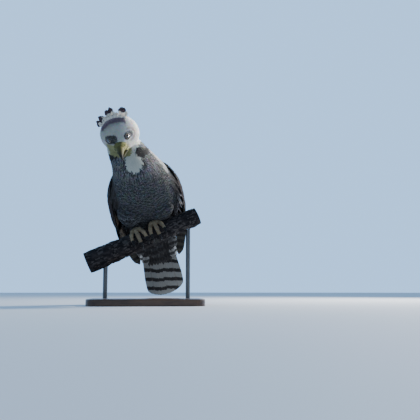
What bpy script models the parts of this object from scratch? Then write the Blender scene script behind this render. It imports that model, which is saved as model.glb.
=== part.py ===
"""An immature black hawk-eagle, life size, perched on a cut length of branch over a display stand.

Metres, +Z up. The bird faces -Y and its left side is at +X. The origin is the centre of the
underside of the stand's base. The bird is modelled in a body frame whose X is its left, whose
Y is its back and whose Z is its up; that frame is rolled with the bird and set on the branch.
"""

import math

import bmesh
import bpy
import numpy as np
from mathutils import Matrix, Vector

MODEL_NAME = "black_hawk_eagle"

# Clearance that neighbouring pieces keep, and how much further a sharp corner may move for it
GAP = 0.0003
SHARPEST = 2.0

# Stand and perch
PERCH_HEIGHT = 0.180
PERCH_SLOPE = math.radians(24.0)
PERCH_MID_RADIUS = 0.0263
PERCH_TAPER = 0.0156
PERCH_START = -0.170
PERCH_END = 0.150
BASE_WIDTH = 0.300
BASE_DEPTH = 0.240
BASE_THICKNESS = 0.018
BASE_SHIFT_BACK = 0.0
BASE_CORNER = 0.030
ROD_RADIUS = 0.006
ROD_PLACES = {"stand_rod_right": -0.118, "stand_rod_left": 0.122}

# Pose of the bird
BODY_ROLL = math.radians(15.0)
BODY_OFFSET = 0.025
HEAD_CENTRE = (-0.029, -0.122, 0.261)
HEAD_PITCH = math.radians(44.0)
HEAD_YAW = math.radians(14.0)
HEAD_ROLL = math.radians(3.0)

# Torso and neck sections from the tail's root to inside the head, in the body frame:
# side shift, back, up, half width, half depth
TRUNK = (
    (0.000, 0.104, 0.018, 0.011, 0.008),
    (0.000, 0.098, 0.024, 0.022, 0.017),
    (0.000, 0.083, 0.040, 0.037, 0.031),
    (0.000, 0.060, 0.063, 0.063, 0.049),
    (0.000, 0.034, 0.088, 0.078, 0.066),
    (0.000, 0.006, 0.114, 0.086, 0.075),
    (-0.001, -0.021, 0.141, 0.084, 0.078),
    (-0.002, -0.045, 0.167, 0.073, 0.070),
    (-0.008, -0.068, 0.192, 0.061, 0.058),
    (-0.017, -0.085, 0.216, 0.053, 0.044),
    (-0.025, -0.097, 0.238, 0.047, 0.031),
    (-0.029, -0.108, 0.254, 0.034, 0.026),
)
TRUNK_RINGS = 17
TRUNK_SIDES = 24
NECK_CUT = 7.9

# Head sections along its own forward axis: forward, half width, half height, centre height
HEAD_SECTIONS = (
    (-0.0490, 0.0080, 0.0080, 0.0020),
    (-0.0450, 0.0210, 0.0210, 0.0020),
    (-0.0330, 0.0380, 0.0380, 0.0010),
    (-0.0150, 0.0490, 0.0470, 0.0000),
    (0.0030, 0.0500, 0.0470, 0.0000),
    (0.0160, 0.0420, 0.0410, 0.0000),
    (0.0260, 0.0320, 0.0335, -0.0025),
    (0.0340, 0.0235, 0.0270, -0.0065),
    (0.0410, 0.0175, 0.0205, -0.0105),
)
HEAD_RINGS = 12
HEAD_SIDES = 22
FACE_PLANE = 0.0370

EYE_CENTRE = (0.0192, 0.0262, 0.0075)
EYE_RADIUS = 0.0090
EYE_GAZE = (0.68, 0.72, 0.10)
LID_RADIUS = 0.0074
LID_THICKNESS = 0.0016

CERE_SECTIONS = (
    (0.0000, 0.0172, 0.0130, -0.0098),
    (0.0060, 0.0146, 0.0124, -0.0098),
    (0.0130, 0.0106, 0.0110, -0.0110),
)
NOSTRIL_PLACE = (0.0116, 0.0092, -0.0052)
NOSTRIL_RADIUS = 0.0019

# Upper bill sections: forward from the cere, up, half width, half height, downward turn
BILL_UPPER = (
    (0.0000, -0.0114, 0.0099, 0.0106, 0.0),
    (0.0060, -0.0122, 0.0086, 0.0100, 12.0),
    (0.0118, -0.0154, 0.0065, 0.0084, 32.0),
    (0.0165, -0.0209, 0.0043, 0.0060, 58.0),
    (0.0187, -0.0271, 0.0025, 0.0037, 80.0),
    (0.0186, -0.0330, 0.0008, 0.0012, 96.0),
)
# Lower bill sections: forward from the face, up, half width, half height
BILL_LOWER = (
    (0.0000, -0.0268, 0.0148, 0.0034),
    (0.0080, -0.0271, 0.0113, 0.0037),
    (0.0180, -0.0277, 0.0073, 0.0033),
    (0.0245, -0.0277, 0.0038, 0.0020),
    (0.0270, -0.0273, 0.0012, 0.0008),
)

# Crest rows: places forward and up on the crown, count, middle and half of the fan, length,
# backward lean
CREST_ROWS = (
    (-0.004, 0.0400, 5, -14.0, 44.0, 0.032, 14.0),
    (-0.018, 0.0375, 6, -20.0, 60.0, 0.041, 28.0),
)
CREST_SPREAD = 0.024
CREST_SHIFT = -0.006
CREST_HALF_WIDTH = 0.0052

# Wing surface from the wrist to the tip: back, up, side radius, back radius, lower and upper angle
WING = (
    (-0.040, 0.166, 0.077, 0.070, 2.0, 60.0),
    (-0.012, 0.137, 0.095, 0.085, -16.0, 76.0),
    (0.028, 0.098, 0.102, 0.088, -20.0, 84.0),
    (0.076, 0.051, 0.099, 0.066, -18.0, 82.0),
    (0.130, -0.002, 0.083, 0.036, -10.0, 62.0),
    (0.186, -0.058, 0.064, 0.012, -5.0, 30.0),
)
WING_CORE_START = 0.02
WING_CORE_END = 0.60
WING_CORE_DEPTH = 0.016
WING_CORE_RIM = 0.0022

# Feather tiers of a folded wing: name, count, root, tip, spread of the tips, lower and upper
# slot, half width, height over the wing surface, rise from one feather to the next
WING_TIERS = (
    ("primaries", 5, 0.50, 1.00, 0.16, 0.04, 0.60, 0.0130, -0.0050, 0.00095),
    ("secondaries", 7, 0.47, 0.79, 0.05, 0.10, 0.96, 0.0140, -0.0004, 0.00030),
    ("greater_coverts", 5, 0.34, 0.545, 0.02, 0.09, 0.91, 0.0185, 0.0028, 0.0),
    ("median_coverts", 5, 0.21, 0.400, 0.02, 0.09, 0.91, 0.0185, 0.0028, 0.0),
    ("lesser_coverts", 5, 0.09, 0.270, 0.02, 0.11, 0.89, 0.0165, 0.0028, 0.0),
)
VANE_TILT = 0.0009
VANE_ROOT_SINK = 0.0030
WING_RISE_END = 0.62
WING_CAMBER = 11.0
WING_GAP = 0.00045

# Tail
TAIL_ROOT = (0.0, 0.074, 0.0475)
TAIL_TIP = (0.0, 0.284, -0.165)
TAIL_FEATHERS = 12
TAIL_HALF_FAN = math.radians(2.0)
TAIL_ROOT_SPACING = 0.0050
TAIL_HALF_WIDTH = 0.0215
TAIL_LEVEL_STEP = 0.00095
TAIL_GRADUATION = 0.018
TAIL_COVERTS = 5
UPPER_COVERT_LENGTH = 0.090
UNDER_COVERT_LENGTH = 0.105

VANE_THICKNESS = 0.00055
RACHIS_RISE = 0.00035

# Legs
HIP = (0.040, -0.016, 0.088)
THIGH_RADII = (0.026, 0.036, 0.038, 0.034, 0.026, 0.0165)
THIGH_END_RISE = 0.021
TARSUS_RADIUS = 0.0098
FEET = {"left": 0.0335, "right": -0.0195}
TOE_SINK = 0.0006
# Toes: splay along the branch, start and end angle round it, base radius
TOES = (
    ("inner", 0.0175, 84.0, 2.0, 0.0066),
    ("middle", 0.0000, 88.0, -12.0, 0.0068),
    ("outer", -0.0170, 84.0, 8.0, 0.0060),
    ("hind", 0.0030, 96.0, 172.0, 0.0070),
)
TOE_RINGS = 7
TOE_SIDES = 8
SCUTE_RISE = 0.0008
SCUTES_FRONT = 4
SCUTES_HIND = 3
CLAW_TURN = 46.0
CLAW_RADIUS = 0.0040
CLAW_ARCH = 0.0050
CLAW_RINGS = 6
CLAW_SIDES = 6

COLOURS = {
    "head": (0.80, 0.77, 0.70),
    "neck": (0.70, 0.67, 0.62),
    "torso": (0.20, 0.18, 0.17),
    "wing": (0.055, 0.045, 0.040),
    "tail": (0.30, 0.29, 0.28),
    "thigh": (0.10, 0.09, 0.085),
    "foot": (0.66, 0.52, 0.20),
    "claw": (0.020, 0.019, 0.018),
    "cere": (0.36, 0.35, 0.12),
    "bill": (0.035, 0.035, 0.040),
    "eye": (0.16, 0.10, 0.035),
    "perch": (0.050, 0.040, 0.034),
    "base": (0.050, 0.026, 0.014),
    "rod": (0.10, 0.10, 0.105),
}
FINISHES = {
    "claw": (0.30, 0.0),
    "bill": (0.32, 0.0),
    "eye": (0.08, 0.0),
    "cere": (0.50, 0.0),
    "foot": (0.60, 0.0),
    "base": (0.40, 0.0),
    "rod": (0.35, 1.0),
}
PLAIN_FINISH = (0.85, 0.0)


def clear_scene():
    """Remove whatever the file holds."""
    for thing in list(bpy.data.objects):
        bpy.data.objects.remove(thing, do_unlink=True)


def new_collection(name):
    """Make a collection under the scene's own."""
    made = bpy.data.collections.new(name)
    bpy.context.scene.collection.children.link(made)
    return made


def material(kind):
    """Return the Principled material of one kind of surface."""
    found = bpy.data.materials.get(kind)
    if found:
        return found
    made = bpy.data.materials.new(kind)
    made.use_nodes = True
    shader = made.node_tree.nodes["Principled BSDF"]
    roughness, metallic = FINISHES.get(kind, PLAIN_FINISH)
    shader.inputs["Base Color"].default_value = (*COLOURS[kind], 1.0)
    shader.inputs["Roughness"].default_value = roughness
    shader.inputs["Metallic"].default_value = metallic
    made.diffuse_color = (*COLOURS[kind], 1.0)
    return made


def smooth_row(rows, place):
    """Read a table of sections at a place counted in rows, on a smooth curve through them."""
    table = np.array(rows, dtype=float)
    last = len(table) - 1
    index = min(int(place), last - 1)
    part = place - index
    before = table[max(index - 1, 0)]
    start = table[index]
    end = table[index + 1]
    after = table[min(index + 2, last)]
    bend = (end - before) * 0.5 * part
    bend = bend + (before - 2.5 * start + 2.0 * end - 0.5 * after) * part ** 2
    bend = bend + (1.5 * (start - end) + 0.5 * (after - before)) * part ** 3
    return start + bend


def mesh_object(name, bm, kind, home):
    """Turn a bmesh into an object with its faces pointing out."""
    bmesh.ops.recalc_face_normals(bm, faces=bm.faces)
    mesh = bpy.data.meshes.new(name)
    bm.to_mesh(mesh)
    bm.free()
    made = bpy.data.objects.new(name, mesh)
    mesh.materials.append(material(kind))
    home.objects.link(made)
    return made


def loft(name, rings, kind, home):
    """Close a row of rings with equal counts into one surface with a fan at each end."""
    bm = bmesh.new()
    rows = [[bm.verts.new(point) for point in ring] for ring in rings]
    count = len(rows[0])
    for here, there in zip(rows, rows[1:]):
        for side in range(count):
            turn = (side + 1) % count
            bm.faces.new((here[side], here[turn], there[turn], there[side]))
    for row, ring in ((rows[0], rings[0]), (rows[-1], rings[-1])):
        middle = bm.verts.new(np.mean([tuple(point) for point in ring], axis=0))
        for side in range(count):
            bm.faces.new((row[side], row[(side + 1) % count], middle))
    return mesh_object(name, bm, kind, home)


def oval(centre, across, upward, half_across, half_up, count):
    """Points of one oval ring."""
    points = []
    for side in range(count):
        turn = math.tau * side / count
        points.append(centre + across * (half_across * math.cos(turn)) + upward * (half_up * math.sin(turn)))
    return points


def tube(name, path, radii, sides, kind, home, across=None):
    """A round bar of changing radius along a path."""
    rings = []
    for index, point in enumerate(path):
        ahead = path[min(index + 1, len(path) - 1)]
        behind = path[max(index - 1, 0)]
        along = (ahead - behind).normalized()
        side = across if across is not None else Vector((1.0, 0.0, 0.0))
        side = (side - along * side.dot(along)).normalized()
        rings.append(oval(point, side, along.cross(side), radii[index], radii[index], sides))
    return loft(name, rings, kind, home)


def ball(name, centre, radius, kind, home, segments=14, rings=9):
    """A sphere from Blender's own primitive."""
    bm = bmesh.new()
    place = Matrix.Translation(centre)
    bmesh.ops.create_uvsphere(bm, u_segments=segments, v_segments=rings, radius=radius, matrix=place)
    return mesh_object(name, bm, kind, home)


def ring_of_tube(name, centre, facing, major, minor, kind, home):
    """A torus round a facing direction."""
    path = []
    turn_to = facing.to_track_quat("Z", "Y").to_matrix()
    steps = 12
    rings = []
    for step in range(steps):
        turn = math.tau * step / steps
        out = turn_to @ Vector((math.cos(turn), math.sin(turn), 0.0))
        path.append(centre + out * major)
        rings.append(oval(path[-1], out, facing, minor, minor, 5))
    bm = bmesh.new()
    rows = [[bm.verts.new(point) for point in ring] for ring in rings]
    for index, here in enumerate(rows):
        there = rows[(index + 1) % steps]
        for side in range(5):
            turn = (side + 1) % 5
            bm.faces.new((here[side], here[turn], there[turn], there[side]))
    return mesh_object(name, bm, kind, home)


def apply_modifiers(thing):
    """Give an object the mesh that its modifiers make."""
    graph = bpy.context.evaluated_depsgraph_get()
    made = bpy.data.meshes.new_from_object(thing.evaluated_get(graph))
    thing.modifiers.clear()
    old = thing.data
    thing.data = made
    bpy.data.meshes.remove(old)


def shells(bm):
    """Lists of the faces of each closed surface."""
    left = set(bm.faces)
    found = []
    while left:
        seed = left.pop()
        shell = [seed]
        queue = [seed]
        while queue:
            face = queue.pop()
            for edge in face.edges:
                for other in edge.link_faces:
                    if other in left:
                        left.remove(other)
                        shell.append(other)
                        queue.append(other)
        found.append(shell)
    return found


def face_volume(face):
    """Signed volume between a face and the origin."""
    corners = [vertex.co for vertex in face.verts]
    total = 0.0
    for index in range(1, len(corners) - 1):
        total += corners[0].dot(corners[index].cross(corners[index + 1])) / 6.0
    return total


def keep_largest(thing):
    """Keep only an object's largest closed surface."""
    bm = bmesh.new()
    bm.from_mesh(thing.data)
    groups = shells(bm)
    if len(groups) > 1:
        groups.sort(key=lambda group: sum(face_volume(face) for face in group))
        for group in groups[:-1]:
            bmesh.ops.delete(bm, geom=group, context="FACES")
        loose = [vertex for vertex in bm.verts if not vertex.link_faces]
        bmesh.ops.delete(bm, geom=loose, context="VERTS")
    bm.to_mesh(thing.data)
    bm.free()


def fuse(body, pieces, solver="EXACT"):
    """Join closed pieces to a body with one Boolean union."""
    group = new_collection(body.name + "_pieces")
    for piece in pieces:
        for home in list(piece.users_collection):
            home.objects.unlink(piece)
        group.objects.link(piece)
    joint = body.modifiers.new("join", "BOOLEAN")
    joint.operand_type = "COLLECTION"
    joint.collection = group
    joint.operation = "UNION"
    joint.solver = solver
    apply_modifiers(body)
    for piece in pieces:
        bpy.data.objects.remove(piece, do_unlink=True)
    bpy.data.collections.remove(group)
    keep_largest(body)


def grown(thing, amount):
    """A copy of an object whose surface lies further out."""
    made = thing.copy()
    made.data = thing.data.copy()
    bm = bmesh.new()
    bm.from_mesh(made.data)
    bm.normal_update()
    moves = [vertex.normal * (amount * min(vertex.calc_shell_factor(), SHARPEST)) for vertex in bm.verts]
    for vertex, move in zip(bm.verts, moves):
        vertex.co += move
    bm.to_mesh(made.data)
    bm.free()
    cutters = bpy.data.collections.get("cutters")
    cutters.objects.link(made)
    made.hide_render = True
    made.display_type = "WIRE"
    return made


def cut_away(thing, other, amount=GAP, solver="EXACT"):
    """Cut an object clear of a neighbour, which keeps its own shape."""
    cutter = grown(other, amount)
    joint = thing.modifiers.new("clear", "BOOLEAN")
    joint.operation = "DIFFERENCE"
    joint.object = cutter
    joint.solver = solver
    apply_modifiers(thing)
    bpy.data.objects.remove(cutter, do_unlink=True)
    keep_largest(thing)


def cut_ball(thing, centre, radius, segments=14, rings=9):
    """Cut a round hollow into an object."""
    cutters = bpy.data.collections.get("cutters")
    cutter = ball("hollow", centre, radius, "eye", cutters, segments, rings)
    joint = thing.modifiers.new("hollow", "BOOLEAN")
    joint.operation = "DIFFERENCE"
    joint.object = cutter
    apply_modifiers(thing)
    bpy.data.objects.remove(cutter, do_unlink=True)


def slice_off(thing, point, normal):
    """Cut an object with a plane, drop what lies beyond it and close the cut."""
    bm = bmesh.new()
    bm.from_mesh(thing.data)
    everything = bm.verts[:] + bm.edges[:] + bm.faces[:]
    cut = bmesh.ops.bisect_plane(bm, geom=everything, plane_co=point, plane_no=normal, clear_outer=True)
    rim = [item for item in cut["geom_cut"] if isinstance(item, bmesh.types.BMEdge)]
    bmesh.ops.edgeloop_fill(bm, edges=rim)
    bmesh.ops.recalc_face_normals(bm, faces=bm.faces)
    bm.to_mesh(thing.data)
    bm.free()


def body_matrix():
    """Place of the body frame in the world."""
    roll = Matrix.Rotation(-BODY_ROLL, 4, "Y")
    side = roll @ Vector((BODY_OFFSET, 0.0, 0.0))
    return Matrix.Translation(Vector((0.0, 0.0, PERCH_HEIGHT)) + side) @ roll


BODY = body_matrix()


def in_body(x, y, z):
    """World place of a point of the body frame."""
    return BODY @ Vector((x, y, z))


def head_matrix():
    """Place of the head frame, whose X is the bird's left, Y its back and Z its up."""
    turn = Matrix.Rotation(-HEAD_YAW, 4, "Z") @ Matrix.Rotation(HEAD_PITCH, 4, "X")
    turn = turn @ Matrix.Rotation(HEAD_ROLL, 4, "Y")
    return BODY @ Matrix.Translation(HEAD_CENTRE) @ turn


HEAD = head_matrix()


def in_head(side, forward, up):
    """World place of a point of the head frame."""
    return HEAD @ Vector((side, -forward, up))


def along_head(side, forward, up):
    """World direction of a direction of the head frame."""
    return (HEAD.to_3x3() @ Vector((side, -forward, up))).normalized()


def perch_radius(place):
    """Radius of the branch at a distance along it."""
    return PERCH_MID_RADIUS - PERCH_TAPER * place


def on_perch(place, angle, reach):
    """Point at a distance from the branch's axis; angle 0 is its front and 90 its top."""
    along = Vector((math.cos(PERCH_SLOPE), 0.0, math.sin(PERCH_SLOPE)))
    top = Vector((-math.sin(PERCH_SLOPE), 0.0, math.cos(PERCH_SLOPE)))
    front = Vector((0.0, -1.0, 0.0))
    turn = math.radians(angle)
    centre = Vector((0.0, 0.0, PERCH_HEIGHT)) + along * place
    return centre + (front * math.cos(turn) + top * math.sin(turn)) * reach


VANE_SHAPE = ((0.0, 0.50), (0.40, 0.88), (0.80, 1.0), (0.95, 0.68), (1.0, 0.26))
COVERT_SHAPE = ((0.0, 0.60), (0.48, 1.0), (0.88, 0.86), (1.0, 0.36))


def vane(name, spot, half_width, shape, kind, home, camber=0.0, thickness=VANE_THICKNESS):
    """A feather's vane with a raised shaft.

    spot gives the centre, the direction across and the normal at a fraction of the length;
    camber is the curvature across the vane.
    """
    bm = bmesh.new()
    rows = []
    for part, share in shape:
        centre, across, normal = spot(part)
        reach = across * (half_width * share)
        drop = normal * (0.5 * camber * (half_width * share) ** 2)
        lift = normal * (thickness * 0.5)
        rise = normal * (thickness * 0.5 + RACHIS_RISE)
        points = (centre - reach - drop + lift, centre + rise, centre + reach - drop + lift)
        under = (centre - reach - drop - lift, centre - lift, centre + reach - drop - lift)
        rows.append([bm.verts.new(point) for point in points + under])
    for here, there in zip(rows, rows[1:]):
        for left, right in ((0, 1), (1, 2)):
            bm.faces.new((here[left], here[right], there[right]))
            bm.faces.new((here[left], there[right], there[left]))
            bm.faces.new((here[left + 3], there[right + 3], here[right + 3]))
            bm.faces.new((here[left + 3], there[left + 3], there[right + 3]))
        bm.faces.new((here[0], there[0], there[3], here[3]))
        bm.faces.new((here[2], here[5], there[5], there[2]))
    for row in (rows[0], rows[-1]):
        bm.faces.new((row[0], row[1], row[4], row[3]))
        bm.faces.new((row[1], row[2], row[5], row[4]))
    return mesh_object(name, bm, kind, home)


def trunk_rings():
    """Rings of the torso and neck, from the tail's root to inside the head."""
    last = len(TRUNK) - 1
    places = np.linspace(0.0, last, TRUNK_RINGS)
    rings = []
    for place in places:
        side, back, up, half_width, half_depth = smooth_row(TRUNK, place)
        ahead = smooth_row(TRUNK, min(place + 0.05, last))
        behind = smooth_row(TRUNK, max(place - 0.05, 0.0))
        along = Vector((0.0, ahead[1] - behind[1], ahead[2] - behind[2])).normalized()
        across = Vector((1.0, 0.0, 0.0))
        dorsal = along.cross(across) * -1.0
        ring = oval(Vector((side, back, up)), across, dorsal, half_width, half_depth, TRUNK_SIDES)
        rings.append([BODY @ point for point in ring])
    return rings


def make_trunk(home):
    """Torso and neck, modelled whole and parted by one thin cut."""
    torso = loft("torso", trunk_rings(), "torso", home)
    neck = loft("neck", trunk_rings(), "neck", home)
    here = smooth_row(TRUNK, NECK_CUT)
    ahead = smooth_row(TRUNK, NECK_CUT + 0.1)
    point = in_body(here[0], here[1], here[2])
    normal = (in_body(ahead[0], ahead[1], ahead[2]) - point).normalized()
    slice_off(torso, point, normal)
    slice_off(neck, point + normal * GAP, -normal)
    return torso, neck


def make_skull(name, home):
    """The head's plain form, cut flat where the cere begins."""
    rings = []
    for place in np.linspace(0.0, len(HEAD_SECTIONS) - 1, HEAD_RINGS):
        forward, half_width, half_height, height = smooth_row(HEAD_SECTIONS, place)
        centre = Vector((0.0, -forward, height))
        ring = oval(centre, Vector((1.0, 0.0, 0.0)), Vector((0.0, 0.0, 1.0)), half_width, half_height, HEAD_SIDES)
        rings.append([HEAD @ point for point in ring])
    skull = loft(name, rings, "head", home)
    slice_off(skull, in_head(0.0, FACE_PLANE, 0.0), along_head(0.0, 1.0, 0.0))
    return skull


def make_head(home):
    """Head with brows, lids and crest, and the hollows that take the eyes."""
    head = make_skull("head", home)
    pieces = []
    for sign in (-1.0, 1.0):
        gaze = along_head(EYE_GAZE[0] * sign, EYE_GAZE[1], EYE_GAZE[2])
        centre = in_head(EYE_CENTRE[0] * sign, EYE_CENTRE[1], EYE_CENTRE[2])
        lid_centre = centre + gaze * math.sqrt(EYE_RADIUS ** 2 - LID_RADIUS ** 2)
        pieces.append(ring_of_tube("lid", lid_centre, gaze, LID_RADIUS, LID_THICKNESS, "head", home))
        path = []
        for part in np.linspace(0.0, 1.0, 6):
            turn = math.radians(20.0 + 62.0 * part)
            path.append(in_head(sign * 0.0345 * math.sin(turn), 0.0050 + 0.0290 * math.cos(turn), 0.0150))
        radii = [0.0016, 0.0038, 0.0046, 0.0046, 0.0038, 0.0016]
        pieces.append(tube("brow", path, radii, 8, "head", home, along_head(0.0, 0.0, 1.0)))
    for row in CREST_ROWS:
        pieces.extend(crest_row(row, home))
    fuse(head, pieces)
    for sign in (-1.0, 1.0):
        centre = in_head(EYE_CENTRE[0] * sign, EYE_CENTRE[1], EYE_CENTRE[2])
        cut_ball(head, centre, EYE_RADIUS + GAP)
    keep_largest(head)
    return head


def crest_row(row, home):
    """One row of the erect crest, feather by feather."""
    forward, up, count, middle, half_fan, length, lean = row
    rng = np.random.default_rng(count)
    made = []
    for index in range(count):
        share = -1.0 + 2.0 * index / (count - 1)
        fan = math.radians(middle + half_fan * share + rng.uniform(-3.0, 3.0))
        tip_lean = math.radians(lean + rng.uniform(-6.0, 6.0))
        reach = length * rng.uniform(0.88, 1.06) * (1.0 - 0.16 * abs(share))
        twist = math.radians(rng.uniform(-14.0, 14.0))

        def spot(part, fan=fan, tip_lean=tip_lean, reach=reach, twist=twist, share=share):
            lean_here = tip_lean * (0.5 + 0.8 * part)
            out = Vector((math.sin(fan), -math.sin(lean_here) * 0.8, math.cos(fan)))
            side = CREST_SHIFT + CREST_SPREAD * share
            start = Vector((side, forward, up - 0.004 - 10.0 * side * side))
            place = start + out.normalized() * (reach * part)
            centre = in_head(place.x, place.y, place.z)
            along = along_head(out.x, out.y, out.z)
            across = along_head(math.cos(fan), 0.35 * share, -math.sin(fan))
            across = Matrix.Rotation(twist, 3, along) @ across
            across = (across - along * across.dot(along)).normalized()
            return centre, across, across.cross(along).normalized()

        made.append(vane("crest", spot, CREST_HALF_WIDTH, COVERT_SHAPE, "head", home))
    return made


def make_bill(home):
    """Cere with nostrils, upper bill and lower bill, with the line of the mouth between them."""
    rings = []
    start = FACE_PLANE + GAP
    across = along_head(1.0, 0.0, 0.0)
    upward = along_head(0.0, 0.0, 1.0)
    for place in np.linspace(0.0, len(CERE_SECTIONS) - 1, 5):
        forward, half_width, half_height, height = smooth_row(CERE_SECTIONS, place)
        rings.append(oval(in_head(0.0, start + forward, height), across, upward, half_width, half_height, 16))
    cere = loft("cere", rings, "cere", home)
    for sign in (-1.0, 1.0):
        side, forward, up = NOSTRIL_PLACE
        cut_ball(cere, in_head(side * sign, start + forward, up), NOSTRIL_RADIUS, 8, 6)
    keep_largest(cere)
    bill_start = start + CERE_SECTIONS[-1][0] + GAP
    rings = []
    for place in np.linspace(0.0, len(BILL_UPPER) - 1, 9):
        forward, height, half_width, half_height, turn = smooth_row(BILL_UPPER, place)
        down = math.radians(turn)
        leaning = along_head(0.0, math.sin(down), math.cos(down))
        rings.append(oval(in_head(0.0, bill_start + forward, height), across, leaning, half_width, half_height, 14))
    upper = loft("bill_upper", rings, "bill", home)
    rings = []
    for place in np.linspace(0.0, len(BILL_LOWER) - 1, 6):
        forward, height, half_width, half_height = smooth_row(BILL_LOWER, place)
        rings.append(oval(in_head(0.0, start + forward, height), across, upward, half_width, half_height, 14))
    lower = loft("bill_lower", rings, "bill", home)
    cut_away(lower, cere)
    cut_away(lower, upper)
    return cere, upper, lower


def make_eyes(home):
    """Two round eyes that fill their hollows."""
    for sign, name in ((1.0, "eye_left"), (-1.0, "eye_right")):
        centre = in_head(EYE_CENTRE[0] * sign, EYE_CENTRE[1], EYE_CENTRE[2])
        ball(name, centre, EYE_RADIUS, "eye", home)


def wing_spot(sign, place, slot, height):
    """Point, direction across and normal of the folded wing's surface.

    place runs from 0 at the wrist to 1 at the tip, slot from the lower to the upper edge.
    """
    row = place * (len(WING) - 1)
    back, up, side_radius, back_radius, low, high = smooth_row(WING, row)
    ahead = smooth_row(WING, min(row + 0.05, len(WING) - 1))
    behind = smooth_row(WING, max(row - 0.05, 0.0))
    along = Vector((0.0, ahead[0] - behind[0], ahead[1] - behind[1])).normalized()
    dorsal = Vector((1.0, 0.0, 0.0)).cross(along) * -1.0
    if dorsal.z < 0.0:
        dorsal = -dorsal
    turn = math.radians(low + (high - low) * slot)
    out = Vector((math.cos(turn), 0.0, 0.0)) + dorsal * math.sin(turn)
    centre = Vector((0.0, back, up))
    place_here = centre + Vector((side_radius * math.cos(turn), 0.0, 0.0)) + dorsal * (back_radius * math.sin(turn))
    normal = Vector((math.cos(turn) / side_radius, 0.0, 0.0)) + dorsal * (math.sin(turn) / back_radius)
    normal.normalize()
    across = Vector((-side_radius * math.sin(turn), 0.0, 0.0)) + dorsal * (back_radius * math.cos(turn))
    across.normalize()
    place_here = place_here + normal * height
    flip = Vector((sign, 1.0, 1.0))
    turned = BODY.to_3x3()
    return (
        BODY @ (place_here * flip),
        turned @ (across * flip),
        turned @ (normal * flip),
        out,
    )


def wing_core(sign, name, home):
    """The arm and hand under the feathers, a lens that lies along the torso."""
    rings = []
    for place in np.linspace(WING_CORE_START, WING_CORE_END, 7):
        taper = 1.0 - 0.72 * max(0.0, (place - 0.30) / (WING_CORE_END - 0.30))
        depth = WING_CORE_DEPTH * taper
        outer = []
        inner = []
        for slot in np.linspace(0.0, 1.0, 7):
            rim = math.sin(math.pi * slot) ** 0.5 if 0.0 < slot < 1.0 else 0.0
            outer.append(wing_spot(sign, place, slot, -WING_CORE_RIM * (1.0 - rim))[0])
            inner.append(wing_spot(sign, place, slot, -WING_CORE_RIM * 2.0 - depth * rim)[0])
        rings.append(outer + inner[::-1])
    return loft(name, rings, "wing", home)


def wing_tier(sign, tier, home):
    """One tier of shingled vanes."""
    name, count, root, tip, spread, low, high, half_width, height, step = tier
    rng = np.random.default_rng(len(name))
    made = []
    for index in range(count):
        share = index / (count - 1)
        slot_here = low + (high - low) * share
        tip_here = tip - spread * share + rng.uniform(-0.006, 0.006)

        level = height + step * index

        def spot(part, slot=slot_here, end=tip_here, level=level):
            place = root + (end - root) * part
            settle = min(1.0, part / WING_RISE_END)
            rise = -VANE_ROOT_SINK + (level + VANE_ROOT_SINK) * settle * settle * (3.0 - 2.0 * settle)
            centre, across, normal, _ = wing_spot(sign, place, slot, rise)
            tilt = math.atan2(VANE_TILT, half_width)
            leaning = (across * math.cos(tilt) + normal * math.sin(tilt)).normalized()
            upright = (normal * math.cos(tilt) - across * math.sin(tilt)).normalized()
            return centre, leaning, upright

        made.append(vane(name, spot, half_width, COVERT_SHAPE, "wing", home, WING_CAMBER))
    return made


def make_wing(sign, name, trunk, home):
    """A folded wing: its core and its tiers of feathers, clear of the torso and neck."""
    core = wing_core(sign, name, home)
    pieces = []
    for tier in WING_TIERS:
        pieces.extend(wing_tier(sign, tier, home))
    fuse(core, pieces, "MANIFOLD")
    cut_away(core, trunk, WING_GAP, "MANIFOLD")
    return core


def tail_frame():
    """Root, direction along, direction across and upper normal of the tail."""
    root = in_body(*TAIL_ROOT)
    along = in_body(*TAIL_TIP) - root
    length = along.length
    along.normalize()
    across = (BODY.to_3x3() @ Vector((1.0, 0.0, 0.0))).normalized()
    return root, along, across, across.cross(along).normalized(), length


def tail_vane(place, fan, level, start, length, half_width, droop, shape, home, name):
    """One feather of the tail or of its coverts."""
    root, along, across, upper, _ = tail_frame()
    if upper.z < 0.0:
        upper = -upper
    heading = (along * math.cos(fan) + across * math.sin(fan)).normalized()
    flat = (across * math.cos(fan) - along * math.sin(fan)).normalized()

    def spot(part):
        settle = min(1.0, part / 0.6)
        off = level[0] + (level[1] - level[0]) * settle
        centre = root + across * place + heading * (start + length * part)
        centre = centre + upper * (off - droop * part * part)
        return centre, flat, upper

    return vane(name, spot, half_width, shape, "tail", home)


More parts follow.
